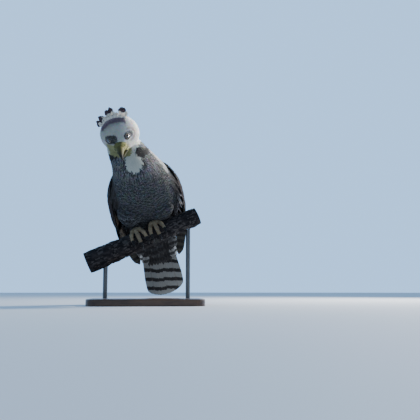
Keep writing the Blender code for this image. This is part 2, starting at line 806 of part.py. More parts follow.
def make_tail(torso, home):
    """Root, twelve fanned feathers in steps, and the coverts above and below."""
    root, along, across, upper, length = tail_frame()
    if upper.z < 0.0:
        upper = -upper
    rings = []
    for part in np.linspace(0.0, 1.0, 6):
        centre = root + along * (0.004 + 0.056 * part)
        half_width = 0.024 * math.sqrt(max(0.05, 1.0 - 0.55 * part))
        half_depth = 0.0150 * (1.0 - 0.72 * part)
        rings.append(oval(centre, across, upper, half_width, half_depth, 16))
    core = loft("tail", rings, "tail", home)
    pieces = []
    half = TAIL_FEATHERS // 2
    for rank in range(half):
        for sign in (-1.0, 1.0):
            share = (rank + 0.5) / (half - 0.5)
            fan = TAIL_HALF_FAN * share * sign
            level = TAIL_LEVEL_STEP * (half - 1.0 - 2.0 * rank) * 0.5
            level += TAIL_LEVEL_STEP * 0.5 * (0.5 if sign > 0.0 else -0.5)
            place = sign * TAIL_ROOT_SPACING * (rank + 0.5)
            reach = length - TAIL_GRADUATION * share * share - 0.012
            piece = tail_vane(place, fan, (level, level), 0.012, reach, TAIL_HALF_WIDTH, 0.0, VANE_SHAPE, home, "rectrix")
            pieces.append(piece)
    for index in range(TAIL_COVERTS):
        share = -1.0 + 2.0 * index / (TAIL_COVERTS - 1)
        fan = math.radians(9.0) * share
        step = 0.0009 * (index % 2)
        over = (0.0060, 0.0062 + step)
        under = (-0.0085, -0.0062 - step)
        short = 1.0 - 0.18 * share * share
        place = 0.013 * share
        pieces.append(tail_vane(place, fan, over, 0.018, UPPER_COVERT_LENGTH * short, 0.0115, 0.0,
                                COVERT_SHAPE, home, "upper_covert"))
        pieces.append(tail_vane(place, fan, under, 0.018, UNDER_COVERT_LENGTH * short, 0.0120, 0.0,
                                COVERT_SHAPE, home, "under_covert"))
    fuse(core, pieces, "MANIFOLD")
    cut_away(core, torso, solver="MANIFOLD")
    return core


def make_perch(home):
    """The cut length of branch."""
    rings = []
    for place in np.linspace(PERCH_START, PERCH_END, 13):
        ring = []
        for side in range(18):
            angle = 360.0 * side / 18.0
            wave = 0.018 * math.sin(37.0 * place + 1.0) + 0.014 * math.sin(3.0 * math.radians(angle) + 52.0 * place)
            calm = min(1.0, max(0.0, (abs(place - 0.007) - 0.05) / 0.03))
            ring.append(on_perch(place, angle, perch_radius(place) * (1.0 + wave * calm)))
        rings.append(ring)
    return loft("perch", rings, "perch", home)


def make_thigh(sign, side, torso, home):
    """Feathered thigh from the hip down to the tarsus."""
    place = FEET[side]
    ankle = on_perch(place, 92.0, perch_radius(place) + THIGH_END_RISE)
    hip = in_body(HIP[0] * sign, HIP[1], HIP[2])
    path = []
    for part in np.linspace(0.0, 1.0, len(THIGH_RADII)):
        point = hip.lerp(ankle, part)
        point.x += 0.006 * sign * math.sin(math.pi * part)
        point.y -= 0.008 * math.sin(math.pi * part)
        path.append(point)
    path.insert(0, hip + (hip - ankle).normalized() * 0.010)
    radii = [0.008, *THIGH_RADII]
    thigh = tube("thigh_" + side, path, radii, 16, "thigh", home)
    cut_away(thigh, torso)
    return thigh


def toe_line(place, toe, mirror):
    """Centres, radii and directions out from the branch along one toe."""
    _, splay, start, end, base = toe
    points = []
    radii = []
    outs = []
    for part in np.linspace(0.0, 1.0, TOE_RINGS):
        spread = place + splay * mirror * math.sin(0.5 * math.pi * part) * 1.1
        angle = start + (end - start) * part
        radius = base * (1.0 - 0.30 * part) * (1.0 + 0.07 * math.cos(3.0 * math.tau * part))
        reach = perch_radius(spread) + radius - TOE_SINK
        points.append(on_perch(spread, angle, reach))
        outs.append((points[-1] - on_perch(spread, angle, 0.0)).normalized())
        radii.append(radius)
    return points, radii, outs


def scute(points, radii, outs, place, home):
    """A bent plate across the upper side of a toe."""
    index = min(int(place), len(points) - 2)
    part = place - index
    centre = points[index].lerp(points[index + 1], part)
    along = (points[index + 1] - points[index]).normalized()
    out = outs[index].lerp(outs[index + 1], part).normalized()
    radius = radii[index] * (1.0 - part) + radii[index + 1] * part
    across = along.cross(out).normalized()
    half_length = 0.0021
    rings = []
    for shift in (-half_length, half_length):
        ring = []
        for reach, order in ((radius + SCUTE_RISE, (-1.0, 0.0, 1.0)), (radius - 0.0014, (1.0, 0.0, -1.0))):
            for share in order:
                turn = math.radians(50.0 * share)
                ring.append(centre + along * shift + (out * math.cos(turn) + across * math.sin(turn)) * reach)
        rings.append(ring)
    return loft("scute", rings, "foot", home)


def make_foot(sign, side, perch, torso, thigh, home):
    """Tarsus and four toes with scutes, gripping the branch, and their claws."""
    place = FEET[side]
    mirror = -sign
    top = on_perch(place, 92.0, perch_radius(place) + THIGH_END_RISE + 0.006)
    bottom = on_perch(place, 88.0, perch_radius(place) + 0.0045)
    path = [top.lerp(bottom, part) for part in np.linspace(0.0, 1.0, 5)]
    radii = [TARSUS_RADIUS * share for share in (1.0, 0.98, 0.98, 1.04, 0.72)]
    foot = tube("foot_" + side, path, radii, 12, "foot", home)
    pieces = []
    for number, toe in enumerate(TOES, start=1):
        points, radii, outs = toe_line(place, toe, mirror)
        pieces.append(tube("toe", points, radii, TOE_SIDES, "foot", home))
        count = SCUTES_HIND if toe[0] == "hind" else SCUTES_FRONT
        for index in range(count):
            spot = 1.8 + (TOE_RINGS - 2.6) * index / (count - 0.4)
            pieces.append(scute(points, radii, outs, spot, home))
        make_claw("claw_%s_%d" % (side, number), place, toe, mirror, perch, home)
    fuse(foot, pieces, "MANIFOLD")
    cut_away(foot, perch, solver="MANIFOLD")
    cut_away(foot, thigh, solver="MANIFOLD")
    cut_away(foot, torso, solver="MANIFOLD")
    return foot


def make_claw(name, place, toe, mirror, perch, home):
    """A curved claw that starts at the end of its toe and bites at the bark."""
    _, splay, start, end, _ = toe
    points, radii, _ = toe_line(place, toe, mirror)
    heading = 1.0 if end > start else -1.0
    spread = place + splay * mirror * 1.1
    branch = perch_radius(spread)
    first = math.degrees(GAP / branch) * heading * 3.0
    path = []
    sizes = []
    for part in np.linspace(0.0, 1.0, CLAW_RINGS):
        angle = end + first + heading * CLAW_TURN * part
        radius = CLAW_RADIUS * (1.0 - part) ** 0.8 + 0.0003
        base_reach = branch + radii[-1] - TOE_SINK
        tip_reach = branch + 0.0011
        reach = base_reach * (1.0 - part) + tip_reach * part + CLAW_ARCH * math.sin(math.pi * part)
        path.append(on_perch(spread, angle, reach))
        sizes.append(radius)
    claw = tube(name, path, sizes, CLAW_SIDES, "claw", home)
    cut_away(claw, perch)
    return claw


def make_stand(perch, home):
    """Flat base and the two rods that hold the branch."""
    bm = bmesh.new()
    size = Matrix.Diagonal((BASE_WIDTH, BASE_DEPTH, BASE_THICKNESS, 1.0))
    place = Matrix.Translation((0.0, BASE_SHIFT_BACK, BASE_THICKNESS * 0.5))
    bmesh.ops.create_cube(bm, size=1.0, matrix=place @ size)
    upright = [edge for edge in bm.edges if abs(edge.verts[0].co.z - edge.verts[1].co.z) > BASE_THICKNESS * 0.5]
    bmesh.ops.bevel(bm, geom=upright, offset=BASE_CORNER, segments=6, affect="EDGES", profile=0.5)
    rim = [edge for edge in bm.edges if min(vertex.co.z for vertex in edge.verts) > BASE_THICKNESS * 0.9]
    bmesh.ops.bevel(bm, geom=rim, offset=0.003, segments=2, affect="EDGES", profile=0.5)
    mesh_object("stand_base", bm, "base", home)
    for name, spot in ROD_PLACES.items():
        centre = on_perch(spot, 0.0, 0.0)
        bm = bmesh.new()
        low = BASE_THICKNESS + GAP
        height = centre.z - low
        middle = Matrix.Translation((centre.x, 0.0, low + height * 0.5))
        bmesh.ops.create_cone(bm, cap_ends=True, segments=20, radius1=ROD_RADIUS, radius2=ROD_RADIUS,
                              depth=height, matrix=middle)
        rod = mesh_object(name, bm, "rod", home)
        cut_away(rod, perch)


def main():
    """Build every piece."""
    clear_scene()
    home = new_collection(MODEL_NAME)
    new_collection("cutters")
    perch = make_perch(home)
    make_stand(perch, home)
    trunk = loft("trunk", trunk_rings(), "torso", bpy.data.collections["cutters"])
    torso, neck = make_trunk(home)
    cut_away(torso, perch)
    skull = make_skull("skull", home)
    cut_away(neck, skull)
    bpy.data.objects.remove(skull, do_unlink=True)
    make_head(home)
    make_bill(home)
    make_eyes(home)
    for sign, side in ((1.0, "left"), (-1.0, "right")):
        make_wing(sign, "wing_" + side, trunk, home)
        thigh = make_thigh(sign, side, torso, home)
        make_foot(sign, side, perch, torso, thigh, home)
    make_tail(torso, home)
    bpy.data.objects.remove(trunk, do_unlink=True)


main()
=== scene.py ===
"""Finished looks of a life-size, immature black hawk-eagle on its perch and display stand.

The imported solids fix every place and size. This script lays a skin inside the solids of the
flesh, covers it with feathers that follow the lie of the plumage, and finishes the bill, eyes,
feet, branch and stand. Metres, +Z up; the bird faces -Y and its left side is at +X.
"""

from __future__ import annotations

import itertools
import logging
import math
from dataclasses import dataclass, field
from enum import Enum
from typing import Any, Sequence

import bmesh
import bpy
import numpy as np
from mathutils import Matrix, Vector
from mathutils.bvhtree import BVHTree


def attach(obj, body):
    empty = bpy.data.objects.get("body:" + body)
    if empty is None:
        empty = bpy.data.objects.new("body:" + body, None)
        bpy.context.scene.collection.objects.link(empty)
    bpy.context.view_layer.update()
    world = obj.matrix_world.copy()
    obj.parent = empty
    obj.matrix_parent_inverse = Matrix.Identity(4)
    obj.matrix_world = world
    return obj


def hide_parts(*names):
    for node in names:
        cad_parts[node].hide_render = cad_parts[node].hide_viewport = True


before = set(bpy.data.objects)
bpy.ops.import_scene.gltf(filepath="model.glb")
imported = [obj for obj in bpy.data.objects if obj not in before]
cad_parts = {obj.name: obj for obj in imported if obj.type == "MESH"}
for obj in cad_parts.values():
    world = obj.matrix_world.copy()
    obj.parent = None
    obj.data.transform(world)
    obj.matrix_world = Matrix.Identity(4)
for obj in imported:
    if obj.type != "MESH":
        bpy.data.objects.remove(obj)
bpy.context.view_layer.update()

LOG = logging.getLogger("hawk_eagle")
ROOT_BODY = "root"
Array = np.ndarray
Rings = Sequence[Sequence[Vector]]
Rows = Sequence[Sequence[float]]
Toe = tuple[str, float, float, float, float]
Triple = tuple[float, float, float]
Cell = tuple[int, int, int]
Colour = Triple
Thing = bpy.types.Object
Finish = bpy.types.Material

# Size of a feather's patch on the bake map, and the count of bars that the beat attribute holds as 1
BAKE_PATCH = 0.003
MOST_BARS = 20.0

# Seeds of the small differences between like pieces
SEEDS = {"plumage": 11, "scatter": 5, "flank": 29, "coat": 17, "wing": 7, "coverts": 13, "crest": 19,
         "bark": 23}

# Place of the bird, as the solids have it
PERCH_HEIGHT = 0.180
PERCH_SLOPE = math.radians(24.0)
PERCH_MID_RADIUS = 0.0263
PERCH_TAPER = 0.0156
PERCH_START = -0.170
PERCH_END = 0.150
BODY_ROLL = math.radians(15.0)
BODY_OFFSET = 0.025
HEAD_CENTRE = (-0.029, -0.122, 0.261)
HEAD_PITCH = math.radians(44.0)
HEAD_YAW = math.radians(14.0)
HEAD_ROLL = math.radians(3.0)
FACE_PLANE = 0.0370
FEET = {"left": 0.0335, "right": -0.0195}
SIDES = {"left": 1.0, "right": -1.0}

# Trunk sections from the tail's root to inside the head: side, back, up, half width, half depth
TRUNK = (
    (0.000, 0.104, 0.018, 0.011, 0.008),
    (0.000, 0.098, 0.024, 0.022, 0.017),
    (0.000, 0.083, 0.040, 0.037, 0.031),
    (0.000, 0.060, 0.063, 0.063, 0.049),
    (0.000, 0.034, 0.088, 0.078, 0.066),
    (0.000, 0.006, 0.114, 0.086, 0.075),
    (-0.001, -0.021, 0.141, 0.084, 0.078),
    (-0.002, -0.045, 0.167, 0.073, 0.070),
    (-0.008, -0.068, 0.192, 0.061, 0.058),
    (-0.017, -0.085, 0.216, 0.053, 0.044),
    (-0.025, -0.097, 0.238, 0.047, 0.031),
    (-0.029, -0.108, 0.254, 0.034, 0.026),
)
# Head sections along its forward axis: forward, half width, half height, centre height
HEAD_SECTIONS = (
    (-0.0490, 0.0080, 0.0080, 0.0020),
    (-0.0450, 0.0210, 0.0210, 0.0020),
    (-0.0330, 0.0380, 0.0380, 0.0010),
    (-0.0150, 0.0490, 0.0470, 0.0000),
    (0.0030, 0.0500, 0.0470, 0.0000),
    (0.0160, 0.0420, 0.0410, 0.0000),
    (0.0260, 0.0320, 0.0335, -0.0025),
    (0.0340, 0.0235, 0.0270, -0.0065),
    (0.0410, 0.0175, 0.0205, -0.0105),
)
# Wing surface from wrist to tip: back, up, side radius, back radius, lower and upper angle
WING = (
    (-0.040, 0.166, 0.077, 0.070, 2.0, 60.0),
    (-0.012, 0.137, 0.095, 0.085, -16.0, 76.0),
    (0.028, 0.098, 0.102, 0.088, -20.0, 84.0),
    (0.076, 0.051, 0.099, 0.066, -18.0, 82.0),
    (0.130, -0.002, 0.083, 0.036, -10.0, 62.0),
    (0.186, -0.058, 0.064, 0.012, -5.0, 30.0),
)


def smooth_row(rows: Rows, place: float) -> Array:
    """Read a table of sections on a smooth curve through its rows.

    Args:
        rows: The table.
        place: Place in the table, counted in rows.

    Returns:
        The row at that place.
    """
    table = np.array(rows, dtype=float)
    last = len(table) - 1
    place = min(max(place, 0.0), float(last))
    index = min(int(place), last - 1)
    part = place - index
    before = table[max(index - 1, 0)]
    start = table[index]
    end = table[index + 1]
    after = table[min(index + 2, last)]
    bend = (end - before) * 0.5 * part
    bend = bend + (before - 2.5 * start + 2.0 * end - 0.5 * after) * part ** 2
    bend = bend + (1.5 * (start - end) + 0.5 * (after - before)) * part ** 3
    return start + bend


def smoothstep(low: float, high: float, value: Any) -> Any:
    """Rise smoothly from 0 at low to 1 at high; low may be the larger."""
    part = np.clip((np.asarray(value, dtype=float) - low) / (high - low), 0.0, 1.0)
    return part * part * (3.0 - 2.0 * part)


def ramp(low: float, high: float, value: float) -> float:
    """Smoothstep of one number."""
    return float(smoothstep(low, high, value))


def unit(vectors: Array) -> Array:
    """Scale vectors in the last axis to length one."""
    return vectors / np.maximum(np.linalg.norm(vectors, axis=-1, keepdims=True), 1.0e-12)


class Pose:
    """Frames of the bird's body and head, and of the branch under it."""

    def __init__(self) -> None:
        """Work the frames out from the pose's angles."""
        roll = Matrix.Rotation(-BODY_ROLL, 4, "Y")
        side = roll @ Vector((BODY_OFFSET, 0.0, 0.0))
        self.body = Matrix.Translation(Vector((0.0, 0.0, PERCH_HEIGHT)) + side) @ roll
        turn = Matrix.Rotation(-HEAD_YAW, 4, "Z") @ Matrix.Rotation(HEAD_PITCH, 4, "X")
        turn = turn @ Matrix.Rotation(HEAD_ROLL, 4, "Y")
        self.head = self.body @ Matrix.Translation(HEAD_CENTRE) @ turn
        self.body_turn = self.body.to_3x3()
        self.head_turn = self.head.to_3x3()

    def in_body(self, x: float, y: float, z: float) -> Vector:
        """World place of a point of the body frame."""
        return self.body @ Vector((x, y, z))

    def in_head(self, side: float, forward: float, up: float) -> Vector:
        """World place of a point of the head frame."""
        return self.head @ Vector((side, -forward, up))

    def along_head(self, side: float, forward: float, up: float) -> Vector:
        """World direction of a direction of the head frame."""
        return (self.head_turn @ Vector((side, -forward, up))).normalized()

    @staticmethod
    def local(base: Matrix, points: Array) -> Array:
        """Coordinates of world points in a frame."""
        back = np.array(base.inverted())
        return points @ back[:3, :3].T + back[:3, 3]

    def to_head(self, points: Array) -> Array:
        """Side, forward and up of world points in the head frame."""
        return self.local(self.head, points) * np.array((1.0, -1.0, 1.0))

    def to_body(self, points: Array) -> Array:
        """Body-frame coordinates of world points."""
        return self.local(self.body, points)

    @staticmethod
    def perch_radius(place: float) -> float:
        """Radius of the branch at a distance along it."""
        return PERCH_MID_RADIUS - PERCH_TAPER * place

    @staticmethod
    def on_perch(place: float, angle: float, reach: float) -> Vector:
        """Point at a distance from the branch's axis; angle 0 is its front and 90 its top."""
        along = Vector((math.cos(PERCH_SLOPE), 0.0, math.sin(PERCH_SLOPE)))
        top = Vector((-math.sin(PERCH_SLOPE), 0.0, math.cos(PERCH_SLOPE)))
        turn = math.radians(angle)
        centre = Vector((0.0, 0.0, PERCH_HEIGHT)) + along * place
        return centre + (Vector((0.0, -1.0, 0.0)) * math.cos(turn) + top * math.sin(turn)) * reach

    def wing_spot(self, sign: float, place: float, slot: float,
                  height: float) -> tuple[Vector, Vector, Vector]:
        """Point, direction across and normal of a folded wing's surface.

        Args:
            sign: 1 for the left wing and -1 for the right.
            place: 0 at the wrist to 1 at the wing's tip.
            slot: 0 at the lower edge to 1 at the upper edge.
            height: Distance out from the surface.

        Returns:
            World point, direction towards the upper edge, and outward normal.
        """
        last = len(WING) - 1
        row = place * last
        back, up, side_radius, back_radius, low, high = smooth_row(WING, row)
        ahead = smooth_row(WING, min(row + 0.05, last))
        behind = smooth_row(WING, max(row - 0.05, 0.0))
        along = Vector((0.0, ahead[0] - behind[0], ahead[1] - behind[1])).normalized()
        dorsal = along.cross(Vector((1.0, 0.0, 0.0)))
        if dorsal.z < 0.0:
            dorsal = -dorsal
        turn = math.radians(low + (high - low) * slot)
        side = Vector((1.0, 0.0, 0.0))
        point = Vector((0.0, back, up)) + side * (side_radius * math.cos(turn))
        point = point + dorsal * (back_radius * math.sin(turn))
        normal = side * (math.cos(turn) / side_radius) + dorsal * (math.sin(turn) / back_radius)
        normal.normalize()
        across = dorsal * (back_radius * math.cos(turn)) - side * (side_radius * math.sin(turn))
        across.normalize()
        flip = Vector((sign, 1.0, 1.0))
        point = point + normal * height
        return self.body @ (point * flip), self.body_turn @ (across * flip), self.body_turn @ (normal * flip)


POSE = Pose()


class Value:
    """A socket of a material, on which Python's operators add Math nodes."""

    def __init__(self, kit: "Kit", socket: bpy.types.NodeSocket) -> None:
        self.kit = kit
        self.socket = socket

    def __add__(self, other: Any) -> "Value":
        """Sum."""
        return self.kit.math("ADD", self, other)

    __radd__ = __add__

    def __sub__(self, other: Any) -> "Value":
        """Difference."""
        return self.kit.math("SUBTRACT", self, other)

    def __rsub__(self, other: Any) -> "Value":
        """Difference from a number."""
        return self.kit.math("SUBTRACT", other, self)

    def __mul__(self, other: Any) -> "Value":
        """Product."""
        return self.kit.math("MULTIPLY", self, other)

    __rmul__ = __mul__

    def __truediv__(self, other: Any) -> "Value":
        """Quotient."""
        return self.kit.math("DIVIDE", self, other)

    def __pow__(self, other: float) -> "Value":
        """Power."""
        return self.kit.math("POWER", self, other)

    def between(self, low: float, high: float) -> "Value":
        """Smooth rise from 0 at low to 1 at high."""
        if low > high:
            return 1.0 - self.between(high, low)
        made = self.kit.node("ShaderNodeMapRange", {"interpolation_type": "SMOOTHSTEP"},
                             {"Value": self, "From Min": low, "From Max": high})
        return Value(self.kit, made.outputs["Result"])

    def wave(self) -> "Value":
        """Sine."""
        return self.kit.math("SINE", self)

    def size(self) -> "Value":
        """Absolute value."""
        return self.kit.math("ABSOLUTE", self)


class Kit:
    """Builds one material's nodes."""

    def __init__(self, name: str, roughness: float, constants: dict[str, Any] | None = None) -> None:
        """Make a material with a Principled shader.

        Args:
            name: The material's name.
            roughness: Roughness where no pattern changes it.
            constants: Other shader inputs that are the same all over.
        """
        self.material = bpy.data.materials.new(name)
        self.material.use_nodes = True
        self.tree = self.material.node_tree
        self.shader = self.tree.nodes["Principled BSDF"]
        self.shader.inputs["Roughness"].default_value = roughness
        for key, value in (constants or {}).items():
            self.shader.inputs[key].default_value = value

    def node(self, kind: str, settings: dict[str, Any] | None = None,
             inputs: dict[Any, Any] | None = None) -> Any:
        """Add a node.

        Args:
            kind: The node's type.
            settings: Its properties.
            inputs: Values or links of its sockets, by name or number.

        Returns:
            The node.
        """
        made = self.tree.nodes.new(kind)
        for key, value in (settings or {}).items():
            setattr(made, key, value)
        for key, value in (inputs or {}).items():
            socket = made.inputs[key]
            if isinstance(value, Value):
                self.tree.links.new(value.socket, socket)
            elif isinstance(value, tuple) and len(value) == 3 and socket.type == "RGBA":
                socket.default_value = (*value, 1.0)
            else:
                socket.default_value = value
        return made

    def math(self, operation: str, *terms: Any) -> Value:
        """Add a Math node on values or numbers."""
        made = self.node("ShaderNodeMath", {"operation": operation}, dict(enumerate(terms)))
        return Value(self, made.outputs[0])

    def mix(self, share: Any, first: Any, second: Any) -> Value:
        """Mix two colours by a share."""
        made = self.node("ShaderNodeMix", {"data_type": "RGBA"}, {0: share, 6: first, 7: second})
        return Value(self, made.outputs[2])

    def place(self, scale: Triple = (1.0, 1.0, 1.0)) -> Value:
        """Object coordinates, stretched."""
        found = self.node("ShaderNodeTexCoord")
        spot = Value(self, found.outputs["Object"])
        made = self.node("ShaderNodeMapping", None, {"Vector": spot, "Scale": scale})
        return Value(self, made.outputs[0])

    def uv(self, name: str) -> tuple[Value, Value]:
        """Both coordinates of a UV map."""
        found = self.node("ShaderNodeUVMap", {"uv_map": name})
        made = self.node("ShaderNodeSeparateXYZ", None, {0: Value(self, found.outputs[0])})
        return Value(self, made.outputs[0]), Value(self, made.outputs[1])

    def noise(self, scale: float, detail: float = 3.0, stretch: Triple = (1.0, 1.0, 1.0),
              rough: float = 0.55) -> Value:
        """Smooth noise around 0.5 on the object's coordinates.

        Args:
            scale: Waves per metre.
            detail: Number of finer layers.
            stretch: Factors of the coordinates.
            rough: Strength of the finer layers.

        Returns:
            The noise.
        """
        made = self.node("ShaderNodeTexNoise", None, {"Vector": self.place(stretch), "Scale": scale,
                                                      "Detail": detail, "Roughness": rough})
        return Value(self, made.outputs[0])

    def attribute(self, name: str) -> Value:
        """A colour attribute of the mesh."""
        return Value(self, self.node("ShaderNodeAttribute", {"attribute_name": name}).outputs["Color"])

    def numbers(self, name: str) -> list[Value]:
        """The four numbers that a colour attribute holds."""
        found = self.node("ShaderNodeAttribute", {"attribute_name": name})
        made = self.node("ShaderNodeSeparateColor", None, {0: Value(self, found.outputs["Color"])})
        sockets = [made.outputs[0], made.outputs[1], made.outputs[2], found.outputs["Alpha"]]
        return [Value(self, socket) for socket in sockets]

    def bump(self, height: Value, distance: float) -> None:
        """Feed the shader's normal from a height."""
        made = self.node("ShaderNodeBump", None, {"Height": height, "Distance": distance, "Strength": 1.0})
        self.tree.links.new(made.outputs[0], self.shader.inputs["Normal"])

    def feed(self, socket: str, value: Value) -> None:
        """Link a value to one of the shader's inputs."""
        self.tree.links.new(value.socket, self.shader.inputs[socket])


class Plume(Enum):
    """Kinds of feather finish: name, roughness, sheen, shine and height of the barbs' relief."""

    SOFT = ("soft_plumage", 0.92, 0.05, 0.10, 0.00022)
    FLIGHT = ("flight_plumage", 0.80, 0.0, 0.07, 0.00018)


@dataclass(frozen=True)
class FeatherFinish:
    """Feather surface that reads its colours and markings from the mesh.

    Attribute "plume" is the ground colour, "mark" the markings' colour, "pattern" holds the
    strength of the shaft streak, of the cross bars and of the pale edge and the length of the
    dark tip, and "beat" holds the bars' count, their phase, the share of each bar that stays
    pale, and their slant.
    """

    plume: Plume

    def make(self) -> Finish:
        """Build the material."""
        name, roughness, sheen, shine, relief = self.plume.value
        kit = Kit(name, roughness,
                  {"Sheen Weight": sheen, "Sheen Roughness": 0.5, "Specular IOR Level": shine})
        across, along = kit.uv("Vane")
        streak, bars, edge, tip = kit.numbers("pattern")
        count, phase, share, slant = kit.numbers("beat")
        side = ((across - 0.5) * 2.0).size()
        grain = kit.noise(190.0, 2.0)
        wander = (grain - 0.5) * 0.22
        streak_mask = (side + wander - along * 0.30).between(0.40, 0.16) * streak
        turn = (along * count * MOST_BARS + phase + (across - 0.5) * slant) * math.tau
        turn = turn + (grain - 0.5) * 1.7 - side * 0.7
        wave = turn.wave() * 0.5 + 0.5
        bar_mask = ((share - wave) * 6.0 + 0.5).between(0.0, 1.0) * bars
        past = (along + wander * 0.5 - side * 0.10) - (1.0 - tip)
        tip_mask = past.between(-0.05, 0.05) * tip.between(0.01, 0.05)
        marked = kit.math("MAXIMUM", kit.math("MAXIMUM", streak_mask, bar_mask), tip_mask)
        rim = (side + wander).between(0.66, 0.95)
        edge_mask = kit.math("MAXIMUM", rim, (along + wander * 0.4).between(0.90, 0.985))
        marked = marked * (1.0 - edge_mask * edge)
        ground = kit.mix(edge_mask * edge * 0.75, kit.attribute("plume"), PALE_EDGE)
        colour = kit.mix(marked, ground, kit.attribute("mark"))
        shaft = side.between(0.07, 0.03) * 0.35
        colour = kit.mix(shaft, colour, DARK_SHAFT)
        mottle = kit.noise(60.0)
        colour = kit.mix((mottle - 0.35) * 0.25, colour, MOTTLE)
        kit.feed("Base Color", colour)
        barbs = (along * 95.0 - side * 26.0).wave()
        kit.bump(barbs * 0.5 + grain * 0.8 + side.between(0.10, 0.02) * 1.4, relief)
        return kit.material


@dataclass(frozen=True)
class SkinFinish:
    """The skin under the feathers, in the coat's own markings."""

    def make(self) -> Finish:
        """Build the material."""
        kit = Kit("skin_down", 0.95, {"Specular IOR Level": 0.1})
        grain = kit.noise(240.0, 4.0)
        colour = kit.mix((grain - 0.3) * 0.6, kit.attribute("plume"), kit.attribute("mark"))
        kit.feed("Base Color", colour)
        kit.bump(grain, 0.0012)
        return kit.material


@dataclass(frozen=True)
class HornFinish:
    """Polished horn of bill and claws, paler towards one colour with fine growth lines."""

    name: str
    dark: Colour
    pale: Colour
    roughness: float
    base: Vector | None = None
    base_colour: Colour = (0.0, 0.0, 0.0)
    base_reach: float = 0.024

    def make(self) -> Finish:
        """Build the material."""
        kit = Kit(self.name, self.roughness, {"Specular IOR Level": 0.20})
        cloud = kit.noise(55.0, 4.0, (1.0, 1.0, 2.5))
        lines = kit.noise(90.0, 3.0, (3.0, 3.0, 30.0))
        colour = kit.mix(cloud.between(0.45, 0.80) * 0.7, self.dark, self.pale)
        if self.base is not None:
            away = kit.node("ShaderNodeVectorMath", {"operation": "DISTANCE"},
                            {0: kit.place(), 1: tuple(self.base)})
            blurred = Value(kit, away.outputs["Value"]) + (cloud - 0.5) * 0.006
            near = blurred.between(self.base_reach, 0.35 * self.base_reach)
            colour = kit.mix(near, colour, self.base_colour)
        kit.feed("Base Color", colour)
        kit.feed("Roughness", self.roughness + (lines - 0.5) * 0.22 + cloud * 0.08)
        kit.bump(lines * 0.7 + cloud * 0.5, 0.00016)
        return kit.material


@dataclass(frozen=True)
class LeatherFinish:
    """Bare skin of cere, lids and toes, with pores and fine wrinkles."""

    name: str
    light: Colour
    shade: Colour
    roughness: float
    cell: float

    def make(self) -> Finish:
        """Build the material."""
        kit = Kit(self.name, self.roughness,
                  {"Subsurface Weight": 0.08, "Subsurface Scale": 0.002, "Specular IOR Level": 0.25})
        cells = kit.node("ShaderNodeTexVoronoi", {"feature": "DISTANCE_TO_EDGE"},
                         {"Vector": kit.place(), "Scale": self.cell})
        crease = Value(kit, cells.outputs[0]).between(0.0, 0.10)
        cloud = kit.noise(70.0, 4.0)
        colour = kit.mix(cloud.between(0.35, 0.75), self.light, self.shade)
        colour = kit.mix((1.0 - crease) * 0.45, colour, tuple(part * 0.35 for part in self.shade))
        kit.feed("Base Color", colour)
        kit.feed("Roughness", self.roughness + (cloud - 0.5) * 0.2)
        kit.bump(crease * 0.6 + kit.noise(420.0, 2.0) * 0.4, 0.00035)
        return kit.material


@dataclass(frozen=True)
class EyeFinish:
    """Iris, pupil and pale rim of one eye, drawn round its gaze."""

    name: str
    centre: Vector
    gaze: Vector
    radius: float

    def make(self) -> Finish:
        """Build the material."""
        kit = Kit(self.name, 0.06, {"Coat Weight": 1.0, "Coat Roughness": 0.02, "Specular IOR Level": 0.6})
        offset = kit.node("ShaderNodeVectorMath", {"operation": "SUBTRACT"},
                          {0: kit.place(), 1: tuple(self.centre)})
        onto = kit.node("ShaderNodeVectorMath", {"operation": "DOT_PRODUCT"},
                        {0: Value(kit, offset.outputs[0]), 1: tuple(self.gaze)})
        turned = Value(kit, onto.outputs["Value"]) / self.radius
        rays = kit.noise(900.0)
        cloud = kit.noise(260.0)
        iris = kit.mix(rays, (0.060, 0.035, 0.014), (0.150, 0.092, 0.034))
        iris = kit.mix(cloud.between(0.5, 0.8) * 0.5, iris, (0.05, 0.030, 0.014))
        iris = kit.mix(turned.between(0.80, 0.74), iris, (0.03, 0.02, 0.012))
        colour = kit.mix(turned.between(0.885, 0.905), iris, (0.003, 0.003, 0.004))
        colour = kit.mix(turned.between(0.70, 0.64), colour, (0.05, 0.045, 0.045))
        kit.feed("Base Color", colour)
        return kit.material


@dataclass(frozen=True)
class BarkFinish:
    """Dark bark with furrows along the branch and grey-green lichen."""

    def make(self) -> Finish:
        """Build the material."""
        kit = Kit("bark", 0.92, {"Specular IOR Level": 0.2})
        furrow = kit.noise(6.0, 6.0, (8.0, 30.0, 20.0), 0.65)
        cloud = kit.noise(34.0, 5.0)
        fine = kit.noise(260.0, 4.0)
        colour = kit.mix(furrow.between(0.38, 0.66), (0.009, 0.008, 0.009), (0.042, 0.034, 0.034))
        colour = kit.mix(cloud.between(0.60, 0.74) * 0.40, colour, (0.11, 0.115, 0.10))
        colour = kit.mix(fine.between(0.55, 0.75) * 0.35, colour, (0.030, 0.024, 0.020))
        kit.feed("Base Color", colour)
        kit.bump(furrow * 1.2 + cloud * 0.5 + fine * 0.35, 0.0022)
        return kit.material


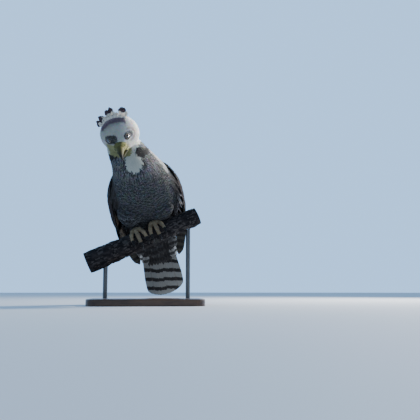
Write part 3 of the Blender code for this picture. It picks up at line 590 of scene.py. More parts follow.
@dataclass(frozen=True)
class EndGrainFinish:
    """Sawn wood at the ends of the branch, with rings round its axis."""

    def make(self) -> Finish:
        """Build the material."""
        kit = Kit("end_grain", 0.80)
        turned = kit.node("ShaderNodeVectorRotate", {"rotation_type": "Y_AXIS"},
                          {"Vector": kit.place(), "Center": (0.0, 0.0, PERCH_HEIGHT), "Angle": PERCH_SLOPE})
        split = kit.node("ShaderNodeSeparateXYZ", None, {0: Value(kit, turned.outputs[0])})
        deep = Value(kit, split.outputs[1])
        high = Value(kit, split.outputs[2]) - PERCH_HEIGHT
        reach = (deep * deep + high * high) ** 0.5
        grain = kit.noise(120.0, 4.0)
        rings = ((reach * 2600.0) + grain * 3.0).wave() * 0.5 + 0.5
        colour = kit.mix(rings, (0.33, 0.22, 0.13), (0.20, 0.12, 0.065))
        colour = kit.mix(reach.between(0.020, 0.024), colour, (0.05, 0.035, 0.025))
        kit.feed("Base Color", colour)
        kit.bump(rings * 0.6 + grain, 0.0004)
        return kit.material


@dataclass(frozen=True)
class WoodFinish:
    """Dark stained and waxed wood of the base, grain along its width."""

    def make(self) -> Finish:
        """Build the material."""
        kit = Kit("base_wood", 0.36, {"Coat Weight": 0.25, "Coat Roughness": 0.22})
        bend = kit.noise(2.2, 3.0, (2.0, 7.0, 7.0))
        grain = kit.noise(9.0, 6.0, (1.2, 16.0, 16.0), 0.6)
        rings = (grain * 16.0 + bend * 11.0).wave() * 0.5 + 0.5
        pores = kit.noise(5.0, 2.0, (6.0, 260.0, 260.0))
        colour = kit.mix(rings, (0.060, 0.028, 0.014), (0.115, 0.057, 0.028))
        colour = kit.mix(pores.between(0.60, 0.72) * 0.7, colour, (0.018, 0.009, 0.005))
        kit.feed("Base Color", colour)
        kit.feed("Roughness", 0.34 + pores.between(0.58, 0.74) * 0.22 + rings * 0.05)
        kit.bump(rings * 0.25 + pores * 0.5, 0.00018)
        return kit.material


@dataclass(frozen=True)
class MetalFinish:
    """Darkened, drawn steel of the rods."""

    def make(self) -> Finish:
        """Build the material."""
        kit = Kit("rod_metal", 0.34, {"Metallic": 1.0})
        lines = kit.noise(1.0, 2.0, (900.0, 900.0, 6.0))
        cloud = kit.noise(38.0, 4.0)
        kit.feed("Base Color", kit.mix(cloud, (0.11, 0.11, 0.115), (0.20, 0.195, 0.19)))
        kit.feed("Roughness", 0.26 + lines * 0.20 + cloud * 0.08)
        kit.bump(lines, 0.00006)
        return kit.material


@dataclass(frozen=True)
class FloorFinish:
    """Plain pale studio floor."""

    def make(self) -> Finish:
        """Build the material."""
        kit = Kit("floor", 0.85)
        cloud = kit.noise(3.0, 2.0)
        kit.feed("Base Color", kit.mix(cloud * 0.3, (0.66, 0.68, 0.70), (0.62, 0.64, 0.66)))
        return kit.material


def link(thing: Thing) -> Thing:
    """Put an object in the scene."""
    bpy.context.scene.collection.objects.link(thing)
    return thing


def own(piece: Thing, slot: str, nodes: Sequence[str] = ()) -> Thing:
    """Tie a finished piece to the body and hide the solids that it stands for.

    Args:
        piece: The finished object.
        slot: The record's material slot; not used.
        nodes: Names of the solids that it replaces.

    Returns:
        The same object.
    """
    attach(piece, ROOT_BODY)
    if nodes:
        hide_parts(*nodes)
    LOG.info("%s: %d faces", piece.name, len(piece.data.polygons))
    return piece


def from_bmesh(name: str, bm: bmesh.types.BMesh, material: Finish, smooth: bool = True) -> Thing:
    """Turn a bmesh into an object with outward faces.

    Args:
        name: Name of the object.
        bm: The bmesh, which is freed.
        material: Finish of every face.
        smooth: Whether faces are shaded smooth.

    Returns:
        The object.
    """
    bmesh.ops.recalc_face_normals(bm, faces=bm.faces)
    mesh = bpy.data.meshes.new(name)
    bm.to_mesh(mesh)
    bm.free()
    mesh.materials.append(material)
    if smooth:
        mesh.shade_smooth()
        mesh.set_sharp_from_angle(angle=math.radians(50.0))
    return link(bpy.data.objects.new(name, mesh))


def bridge(bm: bmesh.types.BMesh, here: Sequence[Any], there: Sequence[Any]) -> list[bmesh.types.BMFace]:
    """Join two rings of as many vertices by a strip of faces."""
    count = len(here)
    turned = [(side, (side + 1) % count) for side in range(count)]
    return [bm.faces.new((here[side], here[turn], there[turn], there[side])) for side, turn in turned]


def add_loft(bm: bmesh.types.BMesh, rings: Rings) -> None:
    """Add a closed surface through rings of equal counts, with a fan at each end."""
    rows = [[bm.verts.new(point) for point in ring] for ring in rings]
    count = len(rows[0])
    for here, there in zip(rows, rows[1:]):
        bridge(bm, here, there)
    for row, ring in ((rows[0], rings[0]), (rows[-1], rings[-1])):
        middle = bm.verts.new(np.mean([tuple(point) for point in ring], axis=0))
        for side in range(count):
            bm.faces.new((row[side], row[(side + 1) % count], middle))


def lofted(name: str, rings: Rings, material: Finish) -> Thing:
    """Object of one closed surface through rings."""
    bm = bmesh.new()
    add_loft(bm, rings)
    return from_bmesh(name, bm, material)


def oval(centre: Vector, across: Vector, upward: Vector, half_across: float, half_up: float,
         count: int) -> list[Vector]:
    """Points of one oval ring."""
    turns = [math.tau * side / count for side in range(count)]
    return [centre + across * (half_across * math.cos(turn)) + upward * (half_up * math.sin(turn))
            for turn in turns]


def round_bar(path: Sequence[Vector], radii: Sequence[float], sides: int,
              across: Vector | None = None) -> list[list[Vector]]:
    """Rings of a round bar of changing radius along a path."""
    rings = []
    for index, point in enumerate(path):
        ahead = path[min(index + 1, len(path) - 1)]
        behind = path[max(index - 1, 0)]
        along = (ahead - behind).normalized()
        side = across if across is not None else Vector((1.0, 0.0, 0.0))
        side = (side - along * side.dot(along)).normalized()
        rings.append(oval(point, side, along.cross(side), radii[index], radii[index], sides))
    return rings


@dataclass
class FeatherBatch:
    """Like feathers laid in one mesh, each a closed lens of rings and columns.

    Attributes:
        name: Name of the finished object.
        rings: Rings along a feather.
        columns: Columns across it, an odd number.
        shape: Share of the half width along the feather, as places and shares.
        rounding: How far the edges fall short of the tip, in feather lengths.
        fray: How far the tip's columns differ, in feather lengths.
        thickness: Thickness at the shaft.
        camber: Curvature across, per metre.
        seed: Seed of the tips' small differences.
    """

    name: str
    rings: int
    columns: int
    shape: tuple[tuple[float, float], ...]
    rounding: float = 0.16
    fray: float = 0.03
    thickness: float = 0.0004
    camber: float = 8.0
    seed: int = 3
    centres: list[Array] = field(default_factory=list)
    normals: list[Array] = field(default_factory=list)
    widths: list[float] = field(default_factory=list)
    looks: list["Look"] = field(default_factory=list)
    roots: list[Array] = field(default_factory=list)

    def add(self, centres: Any, normals: Any, width: float, look: "Look", root: Array) -> None:
        """Add one feather.

        Args:
            centres: Its shaft's points, one for each ring.
            normals: Its upper side's directions there.
            width: Half its greatest width.
            look: Its colours and markings.
            root: Its place on the skin's unwrap.
        """
        self.centres.append(np.array(centres))
        self.normals.append(np.array(normals))
        self.widths.append(width)
        self.looks.append(look)
        self.roots.append(root)

    def points(self) -> tuple[Array, Array]:
        """Upper and lower points of every feather, as feather, ring, column, axis."""
        rng = np.random.default_rng(self.seed)
        centres = np.array(self.centres)
        normals = unit(np.array(self.normals))
        along = unit(np.gradient(centres, axis=1))
        across = unit(np.cross(along, normals))
        normals = np.cross(across, along)
        part = np.linspace(0.0, 1.0, self.rings)
        spread = np.linspace(-1.0, 1.0, self.columns)
        places, shares = zip(*self.shape)
        profile = np.interp(part, places, shares)
        lengths = np.linalg.norm(np.diff(centres, axis=1), axis=2).sum(axis=1)
        reach = np.array(self.widths)[:, None, None] * profile[None, :, None] * spread[None, None, :]
        drop = 0.5 * self.camber * reach ** 2
        frays = rng.uniform(-1.0, 0.35, (len(centres), 1, self.columns)) * self.fray
        short = -self.rounding * spread[None, None, :] ** 2 * part[None, :, None] ** 3
        short = (short + frays * part[None, :, None] ** 5) * lengths[:, None, None]
        middle = centres[:, :, None] + across[:, :, None] * reach[..., None]
        middle = middle + along[:, :, None] * short[..., None] - normals[:, :, None] * drop[..., None]
        thick = 0.5 * self.thickness * (1.0 - spread ** 2)[None, None, :] * (1.0 - 0.6 * part)[None, :, None]
        lift = normals[:, :, None] * thick[..., None]
        return middle + lift, middle - lift

    def faces(self) -> tuple[Array, Array]:
        """Corner numbers of one feather's faces, upper ones first, and each corner's grid place."""
        rings, columns = self.rings, self.columns
        top = np.arange(rings * columns).reshape(rings, columns)
        low = top.copy()
        inner = np.arange((rings - 2) * (columns - 2)).reshape(rings - 2, columns - 2)
        low[1:-1, 1:-1] = rings * columns + inner
        upper = self.cells(top, False)
        return np.concatenate((upper, self.cells(low, True))), np.concatenate((upper, self.cells(top, True)))

    @staticmethod
    def cells(grid: Array, flipped: bool) -> Array:
        """Corners of each cell of a grid, the other way round if flipped."""
        near, far = grid[:-1, 1:], grid[1:, :-1]
        if flipped:
            near, far = far, near
        return np.stack((grid[:-1, :-1], near, grid[1:, 1:], far), axis=-1).reshape(-1, 4)

    def make(self, material: Finish) -> Thing:
        """Build the object.

        Args:
            material: Finish of the feathers.

        Returns:
            The object, with the maps that the finishes read.
        """
        upper, lower = self.points()
        count = len(upper)
        inner = lower[:, 1:-1, 1:-1].reshape(count, -1, 3)
        places = np.concatenate((upper.reshape(count, -1, 3), inner), axis=1)
        faces, grid = self.faces()
        corners = (faces[None] + (np.arange(count) * places.shape[1])[:, None, None]).reshape(-1)
        mesh = bpy.data.meshes.new(self.name)
        mesh.vertices.add(places.shape[0] * places.shape[1])
        mesh.vertices.foreach_set("co", places.reshape(-1))
        mesh.loops.add(len(corners))
        mesh.loops.foreach_set("vertex_index", corners.astype(np.int32))
        mesh.polygons.add(len(corners) // 4)
        mesh.polygons.foreach_set("loop_start", np.arange(0, len(corners), 4, dtype=np.int32))
        mesh.materials.append(material)
        mesh.update(calc_edges=True)
        self.write_maps(mesh, grid, count, places.shape[1])
        mesh.shade_smooth()
        mesh.set_sharp_from_angle(angle=math.radians(75.0))
        return link(bpy.data.objects.new(self.name, mesh))

    def write_maps(self, mesh: bpy.types.Mesh, grid: Array, count: int, each: int) -> None:
        """Write the vane map, the bake map and the colour attributes.

        Args:
            mesh: The feathers' mesh.
            grid: Grid place of each corner of one feather.
            count: Number of feathers.
            each: Number of points of one feather.
        """
        across = (grid % self.columns) / (self.columns - 1)
        along = (grid // self.columns) / (self.rings - 1)
        flat = np.stack((across, along), axis=-1).reshape(-1, 2)
        vane = np.tile(flat, (count, 1))
        mesh.uv_layers.new(name="Vane").data.foreach_set("uv", vane.reshape(-1))
        roots = np.repeat(np.array(self.roots), len(flat), axis=0)
        mesh.uv_layers.new(name="OFBake").data.foreach_set("uv", (roots + vane * BAKE_PATCH).reshape(-1))
        tables = {
            "plume": [(*look.plume, 1.0) for look in self.looks],
            "mark": [(*look.mark, 1.0) for look in self.looks],
            "pattern": [(look.streak, look.bars, look.edge, look.tip) for look in self.looks],
            "beat": [(look.count / MOST_BARS, look.phase, look.share, look.slant) for look in self.looks],
        }
        for name, rows in tables.items():
            layer = mesh.attributes.new(name, "FLOAT_COLOR", "POINT")
            layer.data.foreach_set("color", np.repeat(np.array(rows), each, axis=0).reshape(-1))


@dataclass(frozen=True)
class Look:
    """Colours and markings of one feather."""

    plume: Colour
    mark: Colour
    streak: float = 0.0
    bars: float = 0.0
    edge: float = 0.0
    count: float = 4.0
    phase: float = 0.0
    share: float = 0.5
    tip: float = 0.0
    slant: float = 0.0


WHITE = (0.80, 0.78, 0.74)
CREAM = (0.80, 0.70, 0.55)
# ASH and SLATE are darker than the feathers' own greys: partly painted shade on the bird's front
ASH = (0.29, 0.29, 0.29)
SLATE = (0.078, 0.080, 0.085)
SMOKE = (0.34, 0.335, 0.33)
CHARCOAL = (0.021, 0.020, 0.021)
SOOT = (0.016, 0.015, 0.016)
BROWN = (0.028, 0.020, 0.018)
MAUVE = (0.140, 0.078, 0.112)
UMBER = (0.080, 0.055, 0.066)
# Cream of the crest's bases, brighter than its own colour: a painted glow of backlight through the feathers
BACKLIT_IVORY = (0.94, 0.85, 0.70)
OLIVE = (0.310, 0.295, 0.110)
RUST = (0.30, 0.17, 0.13)
# Grey of the forehead: painted shade on the white head, a darker grey towards the crown
SHADED_BROW = (0.60, 0.59, 0.52)
SHADED_BROW_DARK = (0.30, 0.30, 0.27)
# Pale pinkish white of the flank tuft, painted as sunlit
SUNLIT_FLANK = (0.85, 0.74, 0.72)
NECK_PATCH = (0.66, 0.66, 0.57)
PALE_EDGE = (0.72, 0.66, 0.58)
DARK_SHAFT = (0.10, 0.08, 0.07)
MOTTLE = (0.09, 0.075, 0.065)

# Length of a body feather, over which the bars of the trunk are counted
BODY_FEATHER = 0.0205


def blend_colour(first: Sequence[float], second: Sequence[float], share: float) -> tuple[float, ...]:
    """Mix two colours."""
    return tuple(float(a * (1.0 - share) + b * share) for a, b in zip(first, second))


# Middle of the body and the directions along its trunk and out of its back, in the body frame
MID_BODY = np.array((0.0, 0.006, 0.114))
UP_BODY = np.array((0.0, -0.707, 0.707))
BACK_BODY = np.array((0.0, 0.707, 0.707))


# Ends of the dark patch through each eye, in the head frame, as the photo shows them
# The dark patch on the bird's right runs on over the lores and is partly painted shade; on the sunlit left
# it is a short mark
FACE_PATCHES = (
    ((-0.0235, 0.0295, 0.0080), (-0.0105, 0.0360, 0.0095)),
    ((0.0225, 0.0305, 0.0090), (0.0285, 0.0260, 0.0090)),
)


class Plumage:
    """Where each colour and marking lies on the bird."""

    def __init__(self) -> None:
        """Seed the feather-to-feather variation."""
        self.rng = np.random.default_rng(SEEDS["plumage"])

    def look(self, body: Array, head: Array) -> Look:
        """Colours of a small feather rooted at a point.

        Args:
            body: Its root in the body frame.
            head: The same place in the head frame: side, forward, up.

        Returns:
            The feather's look.
        """
        if np.linalg.norm(head * np.array((1.0, 1.0, 1.05))) < 0.0540 and self.on_head(body):
            return self.head_look(head)
        return self.trunk_look(body)

    @staticmethod
    def on_head(body: Array) -> bool:
        """Whether a point lies above the neck's join with the head."""
        return bool(body[2] > 0.205)

    def head_look(self, head: Array) -> Look:
        """Colours on the head, by side, forward and up, with painted shade on the bird's right side and
        painted sunlight on its left.
        """
        rng = self.rng
        side, forward, up = abs(head[0]), head[1], head[2]
        near, far = FACE_PATCHES[0 if head[0] < 0.0 else 1]
        line = np.array(far) - np.array(near)
        share = float(np.clip((head - near) @ line / (line @ line), 0.0, 1.0))
        away = float(np.linalg.norm(head - near - share * line))
        # Painted light: the head's right side is coloured as if in shade, its left side as if sunlit
        shaded = head[0] < 0.0
        # Painted shade: the dark eye patch is wider on the shaded side
        lore = ramp(0.0125, 0.0085, away) if shaded else ramp(0.0092, 0.0070, away)
        outline = ramp(0.0034, 0.0012, abs(away - 0.0135)) * ramp(0.020, 0.028, head[0])
        band = ramp(0.0115, 0.0080, abs(forward - 0.0050)) * ramp(0.021, 0.029, up)
        band *= ramp(0.029, 0.022, head[0])
        fade = ramp(0.026, 0.010, forward) * ramp(0.015, 0.030, up)
        # Painted shade: the olive round the mouth spreads further over the shaded cheek
        cheek = ramp(0.0380, 0.0300, side) if shaded else ramp(0.0230, 0.0140, side)
        mouth = ramp(0.0240, 0.0180, abs(up + 0.0230)) * ramp(0.006, 0.014, forward) * cheek
        # Painted shade: a grey brow over the forehead, mostly left out on the sunlit side
        brow_shade = ramp(0.000, 0.008, up) * ramp(0.004, 0.012, forward)
        brow_shade *= 1.0 - 0.9 * ramp(0.006, 0.022, head[0])
        plume = blend_colour(WHITE, CREAM, 0.30 * ramp(0.0, -0.03, forward))
        plume = blend_colour(plume, blend_colour(SHADED_BROW, SHADED_BROW_DARK, fade), 0.94 * brow_shade)
        plume = tuple(part * rng.uniform(0.74, 1.06) for part in plume)
        plume = blend_colour(plume, RUST, 0.75 * outline * rng.uniform(0.5, 1.0))
        plume = blend_colour(plume, OLIVE, 0.92 * mouth)
        plume = blend_colour(plume, MAUVE, 0.93 * band * rng.uniform(0.8, 1.0))
        # Painted shade: the eye patch is blacker on the shaded side
        plume = blend_colour(plume, SOOT, (0.98 if shaded else 0.78) * lore * rng.uniform(0.8, 1.0))
        back = ramp(-0.016, -0.034, forward)
        streak = (0.10 + 0.60 * back) * rng.uniform(0.2, 1.0)
        return Look(plume, BROWN, streak=streak, tip=0.35 * back * rng.uniform(0.0, 1.0))

    def trunk_look(self, body: Array) -> Look:
        """Colours on neck, breast, belly, flanks and back."""
        rng = self.rng
        axis = float(np.dot(body - MID_BODY, UP_BODY))
        dorsal = float(np.dot(body - MID_BODY, BACK_BODY)) - 0.35 * max(0.0, axis - 0.06)
        back = ramp(-0.010, 0.014, dorsal)
        low = ramp(0.125, -0.030, axis)
        side = abs(body[0] + 0.024)
        patch = math.hypot((body[0] + 0.0125) / 0.0200, (body[2] - 0.1955) / 0.0220)
        front = 1.0 - back
        pale = ramp(1.02, 0.88, patch) * front
        rim = ramp(0.20, 0.08, abs(patch - 1.13)) * front
        slide = (side - 0.0350) * 0.95 - (axis - 0.1540) * 0.31
        cross = (side - 0.0350) * 0.31 + (axis - 0.1540) * 0.95
        mark = ramp(1.20, 0.80, math.hypot(slide / 0.0200, cross / 0.0056))
        # Painted sunlight: the flank tuft is whitened on the bird's left side only
        flank = ramp(0.058, 0.068, body[0]) * ramp(0.036, 0.016, axis) * front
        flank *= ramp(-0.045, -0.015, axis) * ramp(-0.032, -0.016, dorsal)
        # Darker towards the belly: partly the plumage's heavier barring, partly painted shade
        ground = blend_colour(ASH, SLATE, low ** 0.8)
        ground = tuple(part * rng.uniform(0.75, 1.15) for part in ground)
        ground = blend_colour(ground, SUNLIT_FLANK, 0.9 * flank)
        wrist = 0.0660 + 0.20 * max(0.0, 0.065 - axis)
        shoulder = ramp(wrist - 0.003, wrist + 0.003, abs(body[0])) * ramp(0.014, 0.026, axis)
        ground = blend_colour(ground, BROWN, 0.94 * shoulder)
        # Painted sunlight: white along the upper edge of the back, on the bird's left side only
        lit = ramp(-0.034, -0.020, dorsal) * ramp(0.076, 0.090, axis)
        lit *= ramp(0.020, 0.034, body[0])
        ground = blend_colour(ground, WHITE, 0.80 * lit * rng.uniform(0.7, 1.0))
        ground = blend_colour(ground, NECK_PATCH, 0.94 * pale)
        ground = blend_colour(ground, SOOT, min(1.0, 0.98 * mark + 0.55 * rim) * rng.uniform(0.88, 1.0))
        above = blend_colour(BROWN, SMOKE, rng.uniform(0.0, 0.07))
        nape = ramp(0.070, 0.105, axis)
        above = blend_colour(above, WHITE, 0.92 * nape * rng.uniform(0.5, 1.0))
        plume = blend_colour(ground, above, back)
        bare = (1.0 - pale) * (1.0 - 0.9 * shoulder) * (1.0 - 0.7 * lit)
        streak = front * bare * (0.95 - 0.75 * low) * rng.uniform(0.6, 1.0) + back * nape * 0.55
        bars = front * bare * ramp(0.135, 0.095, axis) * rng.uniform(0.8, 1.0) * (1.0 - 0.5 * flank)
        edge = 0.10 * front + back * rng.uniform(0.10, 0.30)
        beat = 0.0072 + 0.0022 * low
        phase = -axis / beat + 0.35 * math.sin(170.0 * body[0] + 60.0 * axis) + rng.uniform(-0.13, 0.13)
        dark = blend_colour(SOOT, CHARCOAL, front)
        return Look(plume, dark, streak, bars, edge, count=BODY_FEATHER / beat, phase=phase % 1.0,
                    share=0.58 + 0.10 * low)

    def thigh_look(self) -> Look:
        """Colours of the leg's trousers: black with fine white bars."""
        rng = self.rng
        ground = blend_colour(SMOKE, SLATE, rng.uniform(0.3, 1.0))
        return Look(ground, SOOT, streak=0.5, bars=1.0, edge=0.05, count=2.2,
                    phase=rng.uniform(0.0, 1.0), share=0.66)


@dataclass
class Skin:
    """The bird's one skin under its small feathers, from tail root to face and toes.

    Attributes:
        depth: How far the body's skin lies inside the solids.
        head_depth: How far the head's skin lies inside them.
        voxel: Size of the cells that blend the forms.
        trunk_grid: Rings along the trunk and points of each.
        skull_grid: Rings along the head and points of each.
        skull_cut: How far before the last section the skull ends, in rows.
        leg_sides: Points of each ring of a leg.
        ease_rounds: Times that the blend is smoothed.
    """

    depth: float = 0.0036
    head_depth: float = 0.0022
    voxel: float = 0.0024
    trunk_grid: tuple[int, int] = (46, 48)
    skull_grid: tuple[int, int] = (40, 40)
    skull_cut: float = 0.45
    leg_sides: int = 28
    ease_rounds: int = 6
    hip: Triple = (0.040, -0.016, 0.088)
    thigh_radii: tuple[float, ...] = (0.026, 0.036, 0.038, 0.034, 0.026, 0.0165)
    thigh_end_rise: float = 0.021
    tarsus_radius: float = 0.0098

    def trunk(self, bm: bmesh.types.BMesh) -> None:
        """Add the torso and neck."""
        last = len(TRUNK) - 1
        rings = []
        for place in np.linspace(0.0, last, self.trunk_grid[0]):
            side, back, up, half_width, half_depth = smooth_row(TRUNK, place)
            ahead = smooth_row(TRUNK, min(place + 0.05, last))
            behind = smooth_row(TRUNK, max(place - 0.05, 0.0))
            along = Vector((0.0, ahead[1] - behind[1], ahead[2] - behind[2])).normalized()
            across = Vector((1.0, 0.0, 0.0))
            half_width = max(half_width - self.depth, 0.003)
            half_depth = max(half_depth - self.depth, 0.003)
            ring = oval(Vector((side, back, up)), across, across.cross(along), half_width, half_depth,
                        self.trunk_grid[1])
            rings.append([POSE.body @ point for point in ring])
        add_loft(bm, rings)

    def skull(self, bm: bmesh.types.BMesh) -> None:
        """Add the head."""
        rings = []
        across = Vector((1.0, 0.0, 0.0))
        upward = Vector((0.0, 0.0, 1.0))
        for place in np.linspace(0.0, len(HEAD_SECTIONS) - 1.0 - self.skull_cut, self.skull_grid[0]):
            forward, half_width, half_height, height = smooth_row(HEAD_SECTIONS, place)
            half_width = max(half_width - self.head_depth, 0.002)
            half_height = max(half_height - self.head_depth, 0.002)
            ring = oval(Vector((0.0, -forward, height)), across, upward, half_width, half_height,
                        self.skull_grid[1])
            rings.append([POSE.head @ point for point in ring])
        add_loft(bm, rings)

    def leg_path(self, side: str) -> tuple[list[Vector], list[float]]:
        """Points and radii of a thigh and its tarsus, from inside the body to the toes."""
        sign = SIDES[side]
        place = FEET[side]
        ankle = POSE.on_perch(place, 92.0, POSE.perch_radius(place) + self.thigh_end_rise)
        hip = POSE.in_body(self.hip[0] * sign, self.hip[1], self.hip[2])
        path = [hip + (hip - ankle).normalized() * 0.010]
        for part in np.linspace(0.0, 1.0, len(self.thigh_radii)):
            point = hip.lerp(ankle, part)
            point.x += 0.006 * sign * math.sin(math.pi * part)
            point.y -= 0.008 * math.sin(math.pi * part)
            path.append(point)
        path.append(POSE.on_perch(place, 90.0, POSE.perch_radius(place) + 0.006))
        radii = [0.008, *[radius - self.depth for radius in self.thigh_radii], self.tarsus_radius - 0.002]
        return path, radii

    def make(self, material: Finish) -> Thing:
        """Join the forms, blend them into one skin and unwrap it."""
        bm = bmesh.new()
        self.trunk(bm)
        self.skull(bm)
        for side in SIDES:
            path, radii = self.leg_path(side)
            add_loft(bm, round_bar(path, radii, self.leg_sides))
        skin = from_bmesh("skin", bm, material)
        remesh = skin.modifiers.new("blend", "REMESH")
        remesh.mode = "VOXEL"
        remesh.voxel_size = self.voxel
        remesh.use_smooth_shade = True
        ease = skin.modifiers.new("ease", "SMOOTH")
        ease.factor = 0.5
        ease.iterations = self.ease_rounds
        graph = bpy.context.evaluated_depsgraph_get()
        mesh = bpy.data.meshes.new_from_object(skin.evaluated_get(graph))
        skin.modifiers.clear()
        skin.data = mesh
        self.unwrap(skin)
        return skin

    @staticmethod
    def unwrap(skin: Thing) -> None:
        """Give the skin its own unwrap, by its natural faces."""
        while skin.data.uv_layers:
            skin.data.uv_layers.remove(skin.data.uv_layers[0])
        skin.data.uv_layers.new(name="OFBake")
        bpy.context.view_layer.objects.active = skin
        skin.select_set(True)
        bpy.ops.object.mode_set(mode="EDIT")
        bpy.ops.mesh.select_all(action="SELECT")
        bpy.ops.uv.smart_project(angle_limit=math.radians(60.0), island_margin=0.004)
        bpy.ops.object.mode_set(mode="OBJECT")
        skin.select_set(False)


class Ground:
    """The skin as the feathers need it: nearest points, lie of the coat and unwrap."""

    def __init__(self, skin: Thing) -> None:
        """Read the skin's triangles."""
        mesh = skin.data
        mesh.calc_loop_triangles()
        count = len(mesh.loop_triangles)
        self.points = np.empty(len(mesh.vertices) * 3)
        mesh.vertices.foreach_get("co", self.points)
        self.points = self.points.reshape(-1, 3)
        self.corners = np.empty(count * 3, dtype=np.int32)
        mesh.loop_triangles.foreach_get("vertices", self.corners)
        self.corners = self.corners.reshape(-1, 3)
        loops = np.empty(count * 3, dtype=np.int32)
        mesh.loop_triangles.foreach_get("loops", loops)
        flat = np.empty(len(mesh.loops) * 2)
        mesh.uv_layers["OFBake"].data.foreach_get("uv", flat)
        self.flat = flat.reshape(-1, 2)[loops].reshape(-1, 3, 2)
        self.tree = BVHTree.FromPolygons(self.points.tolist(), self.corners.tolist())
        sides = self.points[self.corners]
        self.crosses = np.cross(sides[:, 1] - sides[:, 0], sides[:, 2] - sides[:, 0])
        self.areas = np.linalg.norm(self.crosses, axis=1) * 0.5

    def nearest(self, point: Array) -> tuple[Array, Array]:
        """Nearest point of the skin and the outward normal there."""
        place, normal, _, _ = self.tree.find_nearest(Vector(point))
        return np.array(place), np.array(normal)

    def scatter(self, count: int, seed: int) -> tuple[Array, Array, Array]:
        """Random places on the skin: points, normals and their places on the unwrap."""
        rng = np.random.default_rng(seed)
        chosen = rng.choice(len(self.areas), size=count, p=self.areas / self.areas.sum())
        first = rng.random(count)
        second = rng.random(count)
        over = first + second > 1.0
        first[over] = 1.0 - first[over]
        second[over] = 1.0 - second[over]
        shares = np.stack((1.0 - first - second, first, second), axis=1)
        points = (self.points[self.corners[chosen]] * shares[..., None]).sum(axis=1)
        flat = (self.flat[chosen] * shares[..., None]).sum(axis=1)
        return points, unit(self.crosses[chosen]), flat


